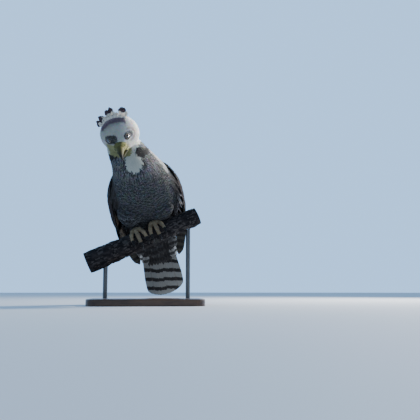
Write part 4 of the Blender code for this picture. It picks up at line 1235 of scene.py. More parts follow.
@dataclass
class Coat:
    """The small feathers over the skin, set densely and laid along the body."""

    ground: Ground
    plumage: Plumage
    skin: Skin
    candidates: int = 190000
    flank_count: int = 90
    flank_length: float = 0.034
    flank_width: float = 0.0050
    flank_lifts: tuple[float, float] = (0.0230, 0.0150)
    body_length: float = 0.0215
    nape_length: float = 0.0115
    small_length: float = 0.0130
    rings: int = 5
    small_vane: tuple[int, float] = (5, 0.09)
    body_vane: tuple[int, float] = (7, 0.13)
    rounding: float = 0.22
    thickness: float = 0.00026
    camber: float = 14.0
    sunk: float = 0.0009
    cell: float = 0.006
    leg_top: float = 0.060
    eye_opening: Triple = (0.0245, 0.0310, 0.0080)
    eye_reach: float = 0.0082
    shape: Rows = ((0.0, 0.30), (0.30, 0.80), (0.65, 1.0), (1.0, 0.72))

    def lie(self, points: Array) -> Array:
        """Direction in which the feathers point at each place."""
        head = POSE.to_head(points)
        turn = np.array(POSE.head_turn)
        backward = turn @ np.array((0.0, 1.0, 0.0))
        out = unit(head * np.array((1.0, 0.0, 1.0))) * np.array((1.0, -1.0, 1.0))
        on_face = backward[None] + 0.55 * (out @ turn.T) * smoothstep(0.012, 0.040, head[:, 1])[:, None]
        tailward = np.array(POSE.body_turn) @ np.array((0.0, 0.70, -0.714))
        body = POSE.to_body(points)
        near_head = smoothstep(0.062, 0.046, np.linalg.norm(head, axis=1))
        near_head = near_head * smoothstep(0.190, 0.225, body[:, 2])
        flow = near_head[:, None] * unit(on_face) + (1.0 - near_head[:, None]) * tailward[None]
        droop = np.array((0.0, 0.0075, -0.030))
        for side in SIDES:
            path, _ = self.skin.leg_path(side)
            low = np.array(path[-2])
            high = np.array(path[2])
            share = np.clip(((points - high) @ (low - high)) / ((low - high) @ (low - high)), 0.0, 1.0)
            away = np.linalg.norm(points - (high + share[:, None] * (low - high)), axis=1)
            on_leg = (smoothstep(0.050, 0.034, away) * smoothstep(0.05, 0.45, share))[:, None]
            flow = flow * (1.0 - on_leg) + unit(low - high + droop)[None] * on_leg
        return unit(flow)

    def sizes(self, points: Array) -> tuple[Array, Array, Array]:
        """Length, half width and lift of the feather at each place."""
        head = POSE.to_head(points)
        body = POSE.to_body(points)
        reach = np.linalg.norm(head, axis=1)
        on_head = smoothstep(0.064, 0.050, reach) * smoothstep(0.190, 0.215, body[:, 2])
        face = smoothstep(-0.010, 0.030, head[:, 1]) * on_head
        length = self.body_length * (1.0 - on_head) + (self.nape_length - 0.0068 * face) * on_head
        neck = smoothstep(0.165, 0.215, body[:, 2]) * (1.0 - on_head)
        length = length * (1.0 - 0.30 * neck)
        width = length * (0.235 + 0.065 * on_head)
        lift = 0.0030 * (1.0 - on_head) + (0.0021 - 0.0012 * face) * on_head
        axis = (body - MID_BODY) @ UP_BODY
        dorsal = (body - MID_BODY) @ BACK_BODY
        flank = smoothstep(0.052, 0.068, np.abs(body[:, 0])) * smoothstep(-0.095, -0.055, axis)
        flank = flank * smoothstep(0.085, 0.045, axis) * smoothstep(-0.042, -0.016, dorsal)
        length = length + 0.013 * flank
        lift = lift + 0.0105 * flank
        low = smoothstep(PERCH_HEIGHT + 0.062, PERCH_HEIGHT + 0.034, points[:, 2])
        length = length * (1.0 - 0.42 * low)
        return length, width * (1.0 - 0.30 * low), lift

    def covered(self, body: Array) -> bool:
        """Whether a folded wing hides the place."""
        axis = float(np.dot(body - MID_BODY, UP_BODY))
        dorsal = float(np.dot(body - MID_BODY, BACK_BODY))
        turn = math.degrees(math.atan2(dorsal, abs(body[0])))
        return -0.12 < axis < 0.030 and 9.0 < turn < 66.0

    def bare(self, head: Array) -> bool:
        """Whether the place is an eye's opening or under the cere."""
        side, forward, up = abs(head[0]), head[1], head[2]
        if math.dist((side, forward, up), self.eye_opening) < self.eye_reach:
            return True
        return forward > 0.0335 and side < 0.0165 and -0.0280 < up < 0.0020

    @staticmethod
    def crowded(point: Array, gap: float, key: Cell, taken: dict[Cell, list[tuple[Any, float]]]) -> bool:
        """Whether a root stands too near one of those taken.

        Args:
            point: Place of the root.
            gap: Room that it needs.
            key: Its cell.
            taken: Places and gaps of the roots that stand, by cell.

        Returns:
            True if there is no room for it.
        """
        for step in itertools.product((-1, 0, 1), repeat=3):
            spot = (key[0] + step[0], key[1] + step[1], key[2] + step[2])
            for other, room in taken.get(spot, ()):
                if np.abs(other - point).max() < 0.5 * (gap + room) + 0.0001:
                    return True
        return False

    def roots(self) -> list[tuple[Any, ...]]:
        """Choose places that keep their distance, with each one's size."""
        points, normals, flat = self.ground.scatter(self.candidates, SEEDS["scatter"])
        length, width, lift = self.sizes(points)
        flow = self.lie(points)
        heads = POSE.to_head(points)
        bodies = POSE.to_body(points)
        taken: dict[Cell, list[tuple[Any, float]]] = {}
        chosen = []
        for index in range(len(points)):
            point = points[index]
            if self.covered(bodies[index]) or self.bare(heads[index]):
                continue
            gap = (0.56 if length[index] < self.small_length else 0.45) * width[index]
            key = tuple(int(value) for value in np.floor(point / self.cell))
            if self.crowded(point, gap, key, taken):
                continue
            taken.setdefault(key, []).append((point, gap))
            chosen.append((point, normals[index], flow[index], length[index], width[index], lift[index],
                           flat[index]))
        return chosen + self.tufts(points, flat)

    def tufts(self, points: Array, flat: Array) -> list[tuple[Any, ...]]:
        """Long loose flank feathers that fill the room between body and folded wing.

        Args:
            points: Places scattered on the skin.
            flat: Their places on the unwrap.

        Returns:
            The flank feathers' roots, in the order that lay reads.
        """
        rng = np.random.default_rng(SEEDS["flank"])
        made = []
        for sign in SIDES.values():
            for _ in range(self.flank_count):
                axis = rng.uniform(-0.075, 0.030)
                dorsal = rng.uniform(-0.034, -0.002)
                spot = MID_BODY + UP_BODY * axis + BACK_BODY * dorsal + np.array((0.080 * sign, 0.0, 0.0))
                point, normal = self.ground.nearest(np.array(POSE.body @ Vector(spot)))
                flow = self.lie(point[None])[0]
                nearest = int(np.argmin(np.abs(points - point).sum(axis=1)))
                lift = self.flank_lifts[0 if sign > 0.0 else 1] * rng.uniform(0.5, 1.0)
                made.append((point, normal, flow, self.flank_length, self.flank_width, lift,
                             flat[nearest]))
        return made

    def lay(self, root: tuple[Any, ...], rings: int, jitter: Array) -> tuple[list[Any], list[Any]]:
        """Follow the skin from a root, rising slowly off it.

        Args:
            root: One of the chosen roots.
            rings: Number of points wanted.
            jitter: Random turn, lift and length of this feather.

        Returns:
            The shaft's points and the normals there.
        """
        point, normal, flow, length, _, lift, _ = root
        length = length * (1.0 + 0.16 * jitter[2])
        along = unit(flow - normal * np.dot(flow, normal))
        side = np.cross(normal, along)
        along = unit(along + side * 0.16 * jitter[0])
        centres = []
        normals = []
        here = point
        step = length / (rings - 1)
        for index in range(rings):
            part = index / (rings - 1)
            if index:
                here, normal = self.ground.nearest(here + along * step)
                along = unit(along - normal * np.dot(along, normal))
            rise = -self.sunk + (lift * (1.0 + 0.35 * jitter[1]) + self.sunk) * part ** 0.85
            centres.append(here + normal * rise)
            normals.append(normal)
        return centres, normals

    @staticmethod
    def piece_name(head: Array, body: Array, small: bool) -> str:
        """Name of the piece that a feather goes to.

        Args:
            head: Its root in the head frame.
            body: Its root in the body frame.
            small: Whether it is one of the head's small feathers.

        Returns:
            The name, with its side.
        """
        if small:
            name = "coat_face" if head[1] > 0.0 else "coat_crown"
        elif body[1] + body[2] > 0.125:
            name = "coat_back" if body[2] - body[1] < 0.125 else "coat_mantle"
        elif body[2] > 0.165:
            name = "coat_neck"
        else:
            name = "coat_breast" if body[2] > 0.110 else "coat_belly"
        return name + ("_left" if (head[0] if small else body[0]) > 0.0 else "_right")

    def make(self, material: Finish) -> list[Thing]:
        """Build the coat in pieces of moderate size."""
        rng = np.random.default_rng(SEEDS["coat"])
        batches: dict[str, FeatherBatch] = {}
        for root in self.roots():
            point = root[0]
            head = POSE.to_head(point[None])[0]
            body = POSE.to_body(point[None])[0]
            small = root[3] < self.small_length
            leg = point[2] < PERCH_HEIGHT + self.leg_top
            name = self.piece_name(head, body, small)
            if name not in batches:
                columns, fray = self.small_vane if small else self.body_vane
                batches[name] = FeatherBatch(name, self.rings, columns, self.shape, self.rounding, fray,
                                             self.thickness, self.camber, len(batches))
            look = self.plumage.thigh_look() if leg and not small else self.plumage.look(body, head)
            centres, normals = self.lay(root, self.rings, rng.uniform(-1.0, 1.0, 3))
            batches[name].add(centres, normals, root[4], look, root[6])
        return [batch.make(material) for batch in batches.values()]


@dataclass
class Wing:
    """A folded wing: its core and its tiers of shingled feathers."""

    side: str
    core_end: float = 0.60
    core_depth: float = 0.016
    core_rim: float = 0.0022
    tip_play: float = 0.006
    height_play: float = 0.0002
    slot_play: float = 0.008
    root_depth: float = 0.0024
    settled: float = 0.62

    def core(self, material: Finish) -> Thing:
        """The arm and hand under the feathers."""
        sign = SIDES[self.side]
        rings = []
        for place in np.linspace(0.02, self.core_end, 26):
            taper = 1.0 - 0.72 * max(0.0, (place - 0.30) / (self.core_end - 0.30))
            depth = self.core_depth * taper * 0.5
            outer = []
            inner = []
            for slot in np.linspace(0.03, 0.97, 16):
                rim = math.sin(math.pi * slot) ** 0.5
                outer.append(POSE.wing_spot(sign, place, slot, -self.core_rim * (1.4 - rim))[0])
                inner.append(POSE.wing_spot(sign, place, slot, -self.core_rim * 1.6 - depth * rim)[0])
            rings.append(outer + inner[::-1])
        return lofted("wing_core_" + self.side, rings, material)

    def tier(self, batch: FeatherBatch, plan: "Tier", rng: np.random.Generator) -> None:
        """Lay one tier of feathers into a batch.

        Args:
            batch: The feathers that it joins.
            plan: The tier.
            rng: Source of the small differences between feathers.
        """
        sign = SIDES[self.side]
        dorsal = (POSE.body_turn @ Vector((0.30 * sign, 0.70, 0.70))).normalized()
        for index in range(plan.count):
            share = index / max(plan.count - 1, 1)
            slot = plan.low + (plan.high - plan.low) * share
            end = plan.tip - plan.spread * share + rng.uniform(-1.0, 1.0) * self.tip_play
            level = plan.height + plan.step * index + rng.uniform(-1.0, 1.0) * self.height_play
            turn = rng.uniform(-1.0, 1.0) * self.slot_play
            centres = []
            normals = []
            for part in np.linspace(0.0, 1.0, batch.rings):
                place = plan.root + (end - plan.root) * part
                settle = min(1.0, part / self.settled)
                rise = (level + self.root_depth) * settle * settle * (3.0 - 2.0 * settle) - self.root_depth
                point, across, normal = POSE.wing_spot(sign, place, slot + turn * part, rise)
                flatten = ramp(0.45, 0.85, place) if plan.flight else 0.0
                normal = (normal * (1.0 - flatten) + dorsal * flatten).normalized()
                normals.append(np.array(normal * math.cos(plan.tilt) - across * math.sin(plan.tilt)))
                centres.append(np.array(point))
            root = np.array((0.2 + 0.6 * share, plan.root))
            batch.add(centres, normals, plan.width, plan.look(rng), root)

    def make(self, material: Finish) -> list[Thing]:
        """Build the wing's feathers, the long ones apart from the coverts."""
        rng = np.random.default_rng(SEEDS["wing"])
        flight = FeatherBatch("wing_flight_" + self.side, 14, 7, VANE_SHAPE, rounding=0.035, fray=0.004,
                              thickness=0.0006, camber=7.0, seed=21)
        covert = FeatherBatch("wing_coverts_" + self.side, 8, 7, COVERT_SHAPE, rounding=0.17, fray=0.025,
                              thickness=0.0005, camber=10.0, seed=22)
        for plan in TIERS:
            LOG.info("%s wing: %d %s", self.side, plan.count, plan.name)
            self.tier(flight if plan.flight else covert, plan, rng)
        return [flight.make(material), covert.make(material)]


VANE_SHAPE = ((0.0, 0.30), (0.25, 0.70), (0.62, 1.0), (0.86, 0.95), (0.95, 0.72), (1.0, 0.34))
COVERT_SHAPE = ((0.0, 0.40), (0.35, 0.86), (0.72, 1.0), (0.92, 0.82), (1.0, 0.50))

# Bars of a flight feather that would run the whole length of the wing's surface
FLIGHT_BARS = 18.75


@dataclass(frozen=True)
class Tier:
    """One tier of wing feathers over the wing's surface."""

    name: str
    count: int
    root: float
    tip: float
    spread: float
    low: float
    high: float
    width: float
    height: float
    step: float
    tilt: float
    flight: bool = False

    def look(self, rng: np.random.Generator) -> Look:
        """Blackish brown with paler edges, barred on the long feathers."""
        ground = blend_colour(BROWN, SMOKE, rng.uniform(0.0, 0.05))
        ground = tuple(part * rng.uniform(0.75, 1.15) for part in ground)
        if self.flight:
            barred = blend_colour(ground, SMOKE, 0.10)
            return Look(barred, SOOT, bars=0.8, edge=0.06, count=FLIGHT_BARS * (self.tip - self.root),
                        phase=0.25, share=0.50)
        return Look(ground, SOOT, streak=0.5, bars=0.25, edge=rng.uniform(0.02, 0.14), count=2.0,
                    phase=rng.uniform(0.0, 1.0), share=0.5)


TIERS = (
    Tier("primaries", 9, 0.46, 1.00, 0.15, 0.03, 0.62, 0.0128, -0.0046, 0.00048, 0.06, True),
    Tier("secondaries", 13, 0.44, 0.800, 0.06, 0.08, 0.97, 0.0112, -0.0006, 0.00016, 0.08, True),
    Tier("greater_coverts", 13, 0.35, 0.560, 0.03, 0.05, 0.95, 0.0100, 0.0022, 0.0, 0.09),
    Tier("median_coverts", 14, 0.27, 0.440, 0.03, 0.04, 0.95, 0.0092, 0.0025, 0.0, 0.09),
    Tier("lesser_coverts_low", 14, 0.20, 0.350, 0.02, 0.04, 0.95, 0.0088, 0.0026, 0.0, 0.10),
    Tier("lesser_coverts_mid", 13, 0.14, 0.280, 0.02, 0.05, 0.94, 0.0084, 0.0026, 0.0, 0.10),
    Tier("lesser_coverts_high", 12, 0.08, 0.210, 0.01, 0.06, 0.93, 0.0078, 0.0026, 0.0, 0.10),
    Tier("marginal_coverts_low", 11, 0.035, 0.145, 0.01, 0.06, 0.93, 0.0070, 0.0025, 0.0, 0.10),
    Tier("marginal_coverts_high", 10, 0.005, 0.090, 0.01, 0.06, 0.92, 0.0062, 0.0022, 0.0, 0.10),
)


@dataclass
class Tail:
    """Twelve fanned tail feathers and the coverts above and below them."""

    root: Triple = (0.0, 0.074, 0.0475)
    tip: Triple = (0.0, 0.284, -0.165)
    half_fan: float = math.radians(2.0)
    spacing: float = 0.0050
    half_width: float = 0.0215
    level_step: float = 0.00095
    graduation: float = 0.018
    bar_length: float = 0.0390
    bar_slant: float = 0.43
    bar_share: float = 0.34
    quill_start: float = 0.012
    covert_width: float = 0.0100
    # Ground of the tail's pale bars, darker than their own pale grey: partly painted shade on the tail's
    # underside
    ground: Colour = (0.185, 0.185, 0.176)
    covert_tiers: Rows = ((0.074, 0.090, 13), (0.040, 0.086, 13), (0.006, 0.080, 12))

    def axes(self) -> tuple[Vector, Vector, Vector, Vector, float]:
        """Root, directions along and across, upper normal, and length."""
        root = POSE.in_body(*self.root)
        along = POSE.in_body(*self.tip) - root
        length = along.length
        along.normalize()
        across = (POSE.body_turn @ Vector((1.0, 0.0, 0.0))).normalized()
        upper = across.cross(along)
        if upper.z < 0.0:
            upper = -upper
        return root, along, across, upper, length

    def feather(self, batch: FeatherBatch, place: float, fan: float, levels: tuple[float, float],
                start: float, reach: float, width: float, look: Look) -> None:
        """Lay one feather into a batch."""
        root, along, across, upper, _ = self.axes()
        heading = (along * math.cos(fan) + across * math.sin(fan)).normalized()
        centres = []
        for part in np.linspace(0.0, 1.0, batch.rings):
            level = levels[0] + (levels[1] - levels[0]) * min(1.0, part / 0.6)
            point = root + across * place + heading * (start + reach * part) + upper * level
            centres.append(np.array(point))
        normals = np.tile(np.array(upper), (batch.rings, 1))
        batch.add(centres, normals, width, look, np.array((0.5 + 8.0 * place, 0.5)))

    def make(self, material: Finish) -> list[Thing]:
        """Build the tail's feathers and coverts."""
        _, _, _, _, length = self.axes()
        quills = FeatherBatch("tail_feathers", 22, 7, TAIL_SHAPE, rounding=0.020, fray=0.003,
                              thickness=0.0007, camber=2.0, seed=31)
        half = 6
        for rank in range(half):
            for sign in (-1.0, 1.0):
                share = (rank + 0.5) / (half - 0.5)
                level = self.level_step * (half - 1.0 - 2.0 * rank) * 0.5 + 0.25 * self.level_step * sign
                reach = length - self.graduation * share * share - self.quill_start
                place = sign * self.spacing * (rank + 0.5)
                phase = 0.55 - (length - self.quill_start + place * self.bar_slant) / self.bar_length
                slant = -2.0 * self.half_width * self.bar_slant / self.bar_length
                look = Look(self.ground, SOOT, bars=1.0, edge=0.05, count=reach / self.bar_length,
                            phase=phase % 1.0, share=self.bar_share, slant=slant)
                self.feather(quills, place, self.half_fan * share * sign,
                             (level, level), self.quill_start, reach, self.half_width, look)
        return [quills.make(material), *self.coverts(material)]

    def coverts(self, material: Finish) -> list[Thing]:
        """Upper and under tail coverts in three tiers each."""
        rng = np.random.default_rng(SEEDS["coverts"])
        batch = FeatherBatch("tail_coverts", 8, 7, COVERT_SHAPE, rounding=0.14, fray=0.05,
                             thickness=0.0005, camber=6.0, seed=33)
        for upper in (True, False):
            for tier, (start, reach, count) in enumerate(self.covert_tiers):
                for index in range(count):
                    share = -1.0 + 2.0 * index / (count - 1)
                    height = 0.0050 + 0.0030 * tier + 0.0007 * (index % 2) + rng.uniform(0.0, 0.0006)
                    root_height = 0.0030 + 0.0040 * tier
                    sign = 1.0 if upper else -1.0
                    if upper:
                        look = Look(blend_colour(BROWN, SMOKE, 0.1), SOOT, streak=0.2, bars=0.4, edge=0.4,
                                    count=3.0, phase=0.2, share=0.5)
                    else:
                        pale = ramp(0.74, 0.96, abs(share)) * (0.3 if tier else 1.0)
                        ground = blend_colour(SLATE, CHARCOAL, rng.uniform(0.5, 1.0))
                        ground = blend_colour(ground, WHITE, 0.8 * pale)
                        look = Look(ground, SOOT, streak=0.3, bars=0.9, edge=0.1, count=3.4,
                                    phase=rng.uniform(0.0, 0.4), share=0.62 - 0.3 * pale)
                    short = 1.0 - 0.16 * share * share + rng.uniform(-0.05, 0.05)
                    fan = math.radians(7.0 + 4.0 * tier) * share
                    self.feather(batch, (0.031 + 0.004 * tier) * share, fan,
                                 (root_height * sign, height * sign), start, reach * short,
                                 self.covert_width, look)
        return [batch.make(material)]


TAIL_SHAPE = ((0.0, 0.30), (0.35, 0.72), (0.75, 1.0), (0.92, 0.97), (0.975, 0.80), (1.0, 0.46))


@dataclass
class Crest:
    """The erect crest, feather by feather: cream bases and broad dark tips."""

    rows: tuple[tuple[float, float, float, float, float, float, bool], ...] = (
        (-0.005, 0.0410, -15.0, 38.0, 0.020, 8.0, False),
        (-0.012, 0.0400, -18.0, 50.0, 0.027, 15.0, False),
        (-0.017, 0.0382, -22.0, 58.0, 0.034, 20.0, True),
        (-0.021, 0.0365, -22.0, 58.0, 0.038, 26.0, True),
        (-0.026, 0.0340, -22.0, 58.0, 0.037, 34.0, True),
    )
    even: tuple[float, ...] = (-1.0, -0.72, -0.44, -0.16, 0.12, 0.40, 0.68, 0.96)
    tufts: tuple[float, ...] = (-1.03, -0.94, -0.72, -0.63, -0.22, -0.12, -0.02, 0.62, 0.74)
    spread: float = 0.023
    shift: float = -0.001
    half_width: float = 0.0062
    fan_play: float = 5.0
    lean_play: float = 9.0
    twist_play: float = 24.0

    def make(self, material: Finish) -> Thing:
        """Build the crest's feathers."""
        batch = FeatherBatch("crest", 11, 7, CREST_SHAPE, rounding=0.10, fray=0.020,
                             thickness=0.0005, camber=30.0, seed=41)
        rng = np.random.default_rng(SEEDS["crest"])
        for forward, up, middle, half_fan, length, lean, tufted in self.rows:
            for share in self.tufts if tufted else self.even:
                share += rng.uniform(-0.04, 0.04)
                fan = math.radians(middle + half_fan * share + rng.uniform(-self.fan_play, self.fan_play))
                tip_lean = math.radians(lean + rng.uniform(-self.lean_play, self.lean_play))
                reach = length * rng.uniform(0.86, 1.06) * (1.0 - 0.12 * abs(share))
                twist = math.radians(rng.uniform(-self.twist_play, self.twist_play))
                centres = []
                normals = []
                for part in np.linspace(0.0, 1.0, batch.rings):
                    lean_here = tip_lean * (0.4 + 1.0 * part)
                    out = Vector((math.sin(fan), -math.sin(lean_here) * 0.8, math.cos(fan))).normalized()
                    across_head = self.shift + self.spread * share
                    start = Vector((across_head, forward, up - 0.005 - 11.0 * across_head * across_head))
                    place = start + out * (reach * part)
                    centres.append(np.array(POSE.in_head(place.x, place.y, place.z)))
                    along = POSE.along_head(out.x, out.y, out.z)
                    across = POSE.along_head(math.cos(fan), 0.3 * share, -math.sin(fan))
                    across = Matrix.Rotation(twist, 3, along) @ across
                    normals.append(np.array(across.cross(along).normalized()))
                dark = (0.34 if tufted else 0.06) + 0.05 * rng.uniform(-1.0, 1.0)
                # Painted light: the bases' bright cream stands for backlight glowing through them
                look = Look(blend_colour(BACKLIT_IVORY, WHITE, rng.uniform(0.0, 0.5)), UMBER, 0.15, tip=dark)
                width = self.half_width * rng.uniform(0.85, 1.15)
                batch.add(centres, normals, width, look, np.array((0.5 + 0.2 * share, 0.5)))
        return batch.make(material)


CREST_SHAPE = ((0.0, 0.30), (0.35, 0.52), (0.70, 0.92), (0.88, 1.0), (0.96, 0.84), (1.0, 0.5))


@dataclass
class Face:
    """Eyes, lids, cere and bill."""

    eye_centre: Triple = (0.0192, 0.0262, 0.0075)
    eye_radius: float = 0.0090
    eye_gaze: Triple = (0.68, 0.72, 0.10)
    lid_radius: float = 0.0074
    lid_thick: float = 0.0013
    lid_depth: float = 0.0012
    lid_rise: float = 0.0006
    lid_steps: int = 40
    lid_sides: int = 10
    seam: float = 0.0003
    cere_sections: Rows = ((0.0000, 0.0172, 0.0130, -0.0098), (0.0060, 0.0146, 0.0124, -0.0098),
                           (0.0130, 0.0106, 0.0110, -0.0110))
    nostril: Triple = (0.0116, 0.0092, -0.0052)
    nostril_depth: float = 0.0022
    nostril_rim: float = 0.0004
    bill_upper: Rows = ((0.0000, -0.0114, 0.0099, 0.0106, 0.0), (0.0060, -0.0122, 0.0086, 0.0100, 12.0),
                        (0.0118, -0.0154, 0.0065, 0.0084, 32.0), (0.0165, -0.0209, 0.0043, 0.0060, 58.0),
                        (0.0187, -0.0271, 0.0025, 0.0037, 80.0), (0.0186, -0.0330, 0.0008, 0.0012, 96.0))
    bill_lower: Rows = ((0.0000, -0.0268, 0.0148, 0.0034), (0.0080, -0.0271, 0.0113, 0.0037),
                        (0.0180, -0.0277, 0.0073, 0.0033), (0.0245, -0.0277, 0.0038, 0.0020),
                        (0.0270, -0.0273, 0.0012, 0.0008))

    def eye(self, side: str) -> list[Thing]:
        """One eyeball with its lids."""
        sign = SIDES[side]
        centre = POSE.in_head(self.eye_centre[0] * sign, self.eye_centre[1], self.eye_centre[2])
        gaze = POSE.along_head(self.eye_gaze[0] * sign, self.eye_gaze[1], self.eye_gaze[2])
        finish = EyeFinish("eye_" + side, centre, gaze, self.eye_radius).make()
        bm = bmesh.new()
        bmesh.ops.create_uvsphere(bm, u_segments=48, v_segments=32, radius=self.eye_radius)
        turn = gaze.to_track_quat("Z", "Y").to_matrix().to_4x4()
        for vertex in bm.verts:
            bulge = 1.0 + 0.05 * ramp(0.72, 1.0, vertex.co.z / self.eye_radius)
            vertex.co = centre + turn.to_3x3() @ (vertex.co * bulge)
        ball = from_bmesh("eyeball_" + side, bm, finish)
        lids = LeatherFinish("lids_" + side, light=(0.055, 0.050, 0.045), shade=(0.025, 0.022, 0.020),
                             roughness=0.70, cell=1900.0).make()
        bm = bmesh.new()
        rows = []
        across = gaze.cross(POSE.along_head(0.0, 0.0, 1.0)).normalized()
        upward = across.cross(gaze).normalized()
        lid_centre = centre + gaze * math.sqrt(self.eye_radius ** 2 - self.lid_radius ** 2)
        for step in range(self.lid_steps):
            angle = math.tau * step / self.lid_steps
            out = across * math.cos(angle) + upward * math.sin(angle)
            heavy = 1.0 + 0.7 * max(0.0, math.sin(angle)) ** 2
            squeeze = 1.0 - 0.10 * max(0.0, math.sin(angle))
            middle = lid_centre + out * (self.lid_radius * squeeze) + gaze * self.lid_rise
            ring = oval(middle, out, gaze, self.lid_thick * heavy, self.lid_depth, self.lid_sides)
            rows.append([bm.verts.new(point) for point in ring])
        for index, here in enumerate(rows):
            bridge(bm, here, rows[(index + 1) % self.lid_steps])
        lid = from_bmesh("lid_" + side, bm, lids)
        return [own(ball, "eye_surface", ("eye_" + side,)), own(lid, "cere_skin")]

    def cere(self) -> Thing:
        """The waxy skin at the bill's base, with nostrils, slightly swollen in the middle."""
        finish = LeatherFinish("cere", light=(0.175, 0.168, 0.054), shade=(0.130, 0.124, 0.042),
                               roughness=0.75, cell=1300.0).make()
        start = FACE_PLANE + self.seam
        across = POSE.along_head(1.0, 0.0, 0.0)
        upward = POSE.along_head(0.0, 0.0, 1.0)
        rings = []
        for place in np.linspace(0.0, len(self.cere_sections) - 1, 22):
            forward, half_width, half_height, height = smooth_row(self.cere_sections, place)
            swell = 1.0 + 0.03 * math.sin(math.pi * place / 2.0)
            centre = POSE.in_head(0.0, start + forward, height)
            rings.append(oval(centre, across, upward, half_width * swell, half_height * swell, 56))
        bm = bmesh.new()
        add_loft(bm, rings)
        for sign in (-1.0, 1.0):
            hole = POSE.in_head(self.nostril[0] * sign, start + self.nostril[1], self.nostril[2])
            inward = POSE.along_head(-sign, -0.3, 0.0)
            for vertex in bm.verts:
                near = (vertex.co - hole).length
                vertex.co += inward * self.nostril_depth * ramp(0.0026, 0.0008, near)
                rim = ramp(0.0044, 0.0030, near) * ramp(0.0018, 0.0030, near)
                vertex.co -= inward * self.nostril_rim * rim
        return own(from_bmesh("cere_finished", bm, finish), "cere_skin", ("cere",))

    def gape(self) -> Thing:
        """The fleshy yellow corners of the mouth, which run back under the eyes."""
        finish = LeatherFinish("gape", light=(0.130, 0.124, 0.042), shade=(0.095, 0.090, 0.032),
                               roughness=0.75, cell=1500.0).make()
        bm = bmesh.new()
        for sign in (-1.0, 1.0):
            path = []
            radii = []
            for part in np.linspace(0.0, 1.0, 18):
                side = 0.0105 + 0.0095 * part ** 0.8
                forward = 0.0440 - 0.0170 * part
                path.append(POSE.in_head(side * sign, forward, -0.0168 - 0.0012 * part))
                radii.append(0.0012 + 0.0014 * math.sin(math.pi * min(1.0, part * 1.05)) ** 0.7)
            add_loft(bm, round_bar(path, radii, 16, POSE.along_head(0.0, 0.0, 1.0)))
        return own(from_bmesh("gape", bm, finish), "cere_skin")

    def bill(self) -> list[Thing]:
        """Upper and lower bill, with a cutting edge and hooked tip."""
        base = POSE.in_head(0.0, FACE_PLANE + self.cere_sections[-1][0], self.cere_sections[-1][3])
        finish = HornFinish("bill_horn", dark=(0.016, 0.016, 0.015), pale=(0.040, 0.038, 0.026),
                            roughness=0.72, base=base, base_colour=(0.100, 0.092, 0.030)).make()
        across = POSE.along_head(1.0, 0.0, 0.0)
        upward = POSE.along_head(0.0, 0.0, 1.0)
        start = FACE_PLANE + self.seam
        bill_start = start + self.cere_sections[-1][0] + self.seam
        rings = []
        for place in np.linspace(0.0, len(self.bill_upper) - 1, 40):
            forward, height, half_width, half_height, turn = smooth_row(self.bill_upper, place)
            down = math.radians(turn)
            leaning = POSE.along_head(0.0, math.sin(down), math.cos(down))
            centre = POSE.in_head(0.0, bill_start + forward, height)
            ring = []
            for step in range(48):
                angle = math.tau * step / 48
                low = max(0.0, -math.sin(angle))
                narrow = 1.0 - 0.22 * low ** 3
                ring.append(centre + across * (half_width * narrow * math.cos(angle))
                            + leaning * (half_height * math.sin(angle)))
            rings.append(ring)
        upper = lofted("bill_upper_finished", rings, finish)
        rings = []
        for place in np.linspace(0.0, len(self.bill_lower) - 1, 24):
            forward, height, half_width, half_height = smooth_row(self.bill_lower, place)
            centre = POSE.in_head(0.0, start + forward, height)
            rings.append(oval(centre, across, upward, half_width, half_height, 40))
        lower = lofted("bill_lower_finished", rings, finish)
        return [own(upper, "bill_horn", ("bill_upper",)), own(lower, "bill_horn", ("bill_lower",))]

    def make(self) -> None:
        """Build the face."""
        for side in SIDES:
            self.eye(side)
        self.cere()
        self.gape()
        self.bill()


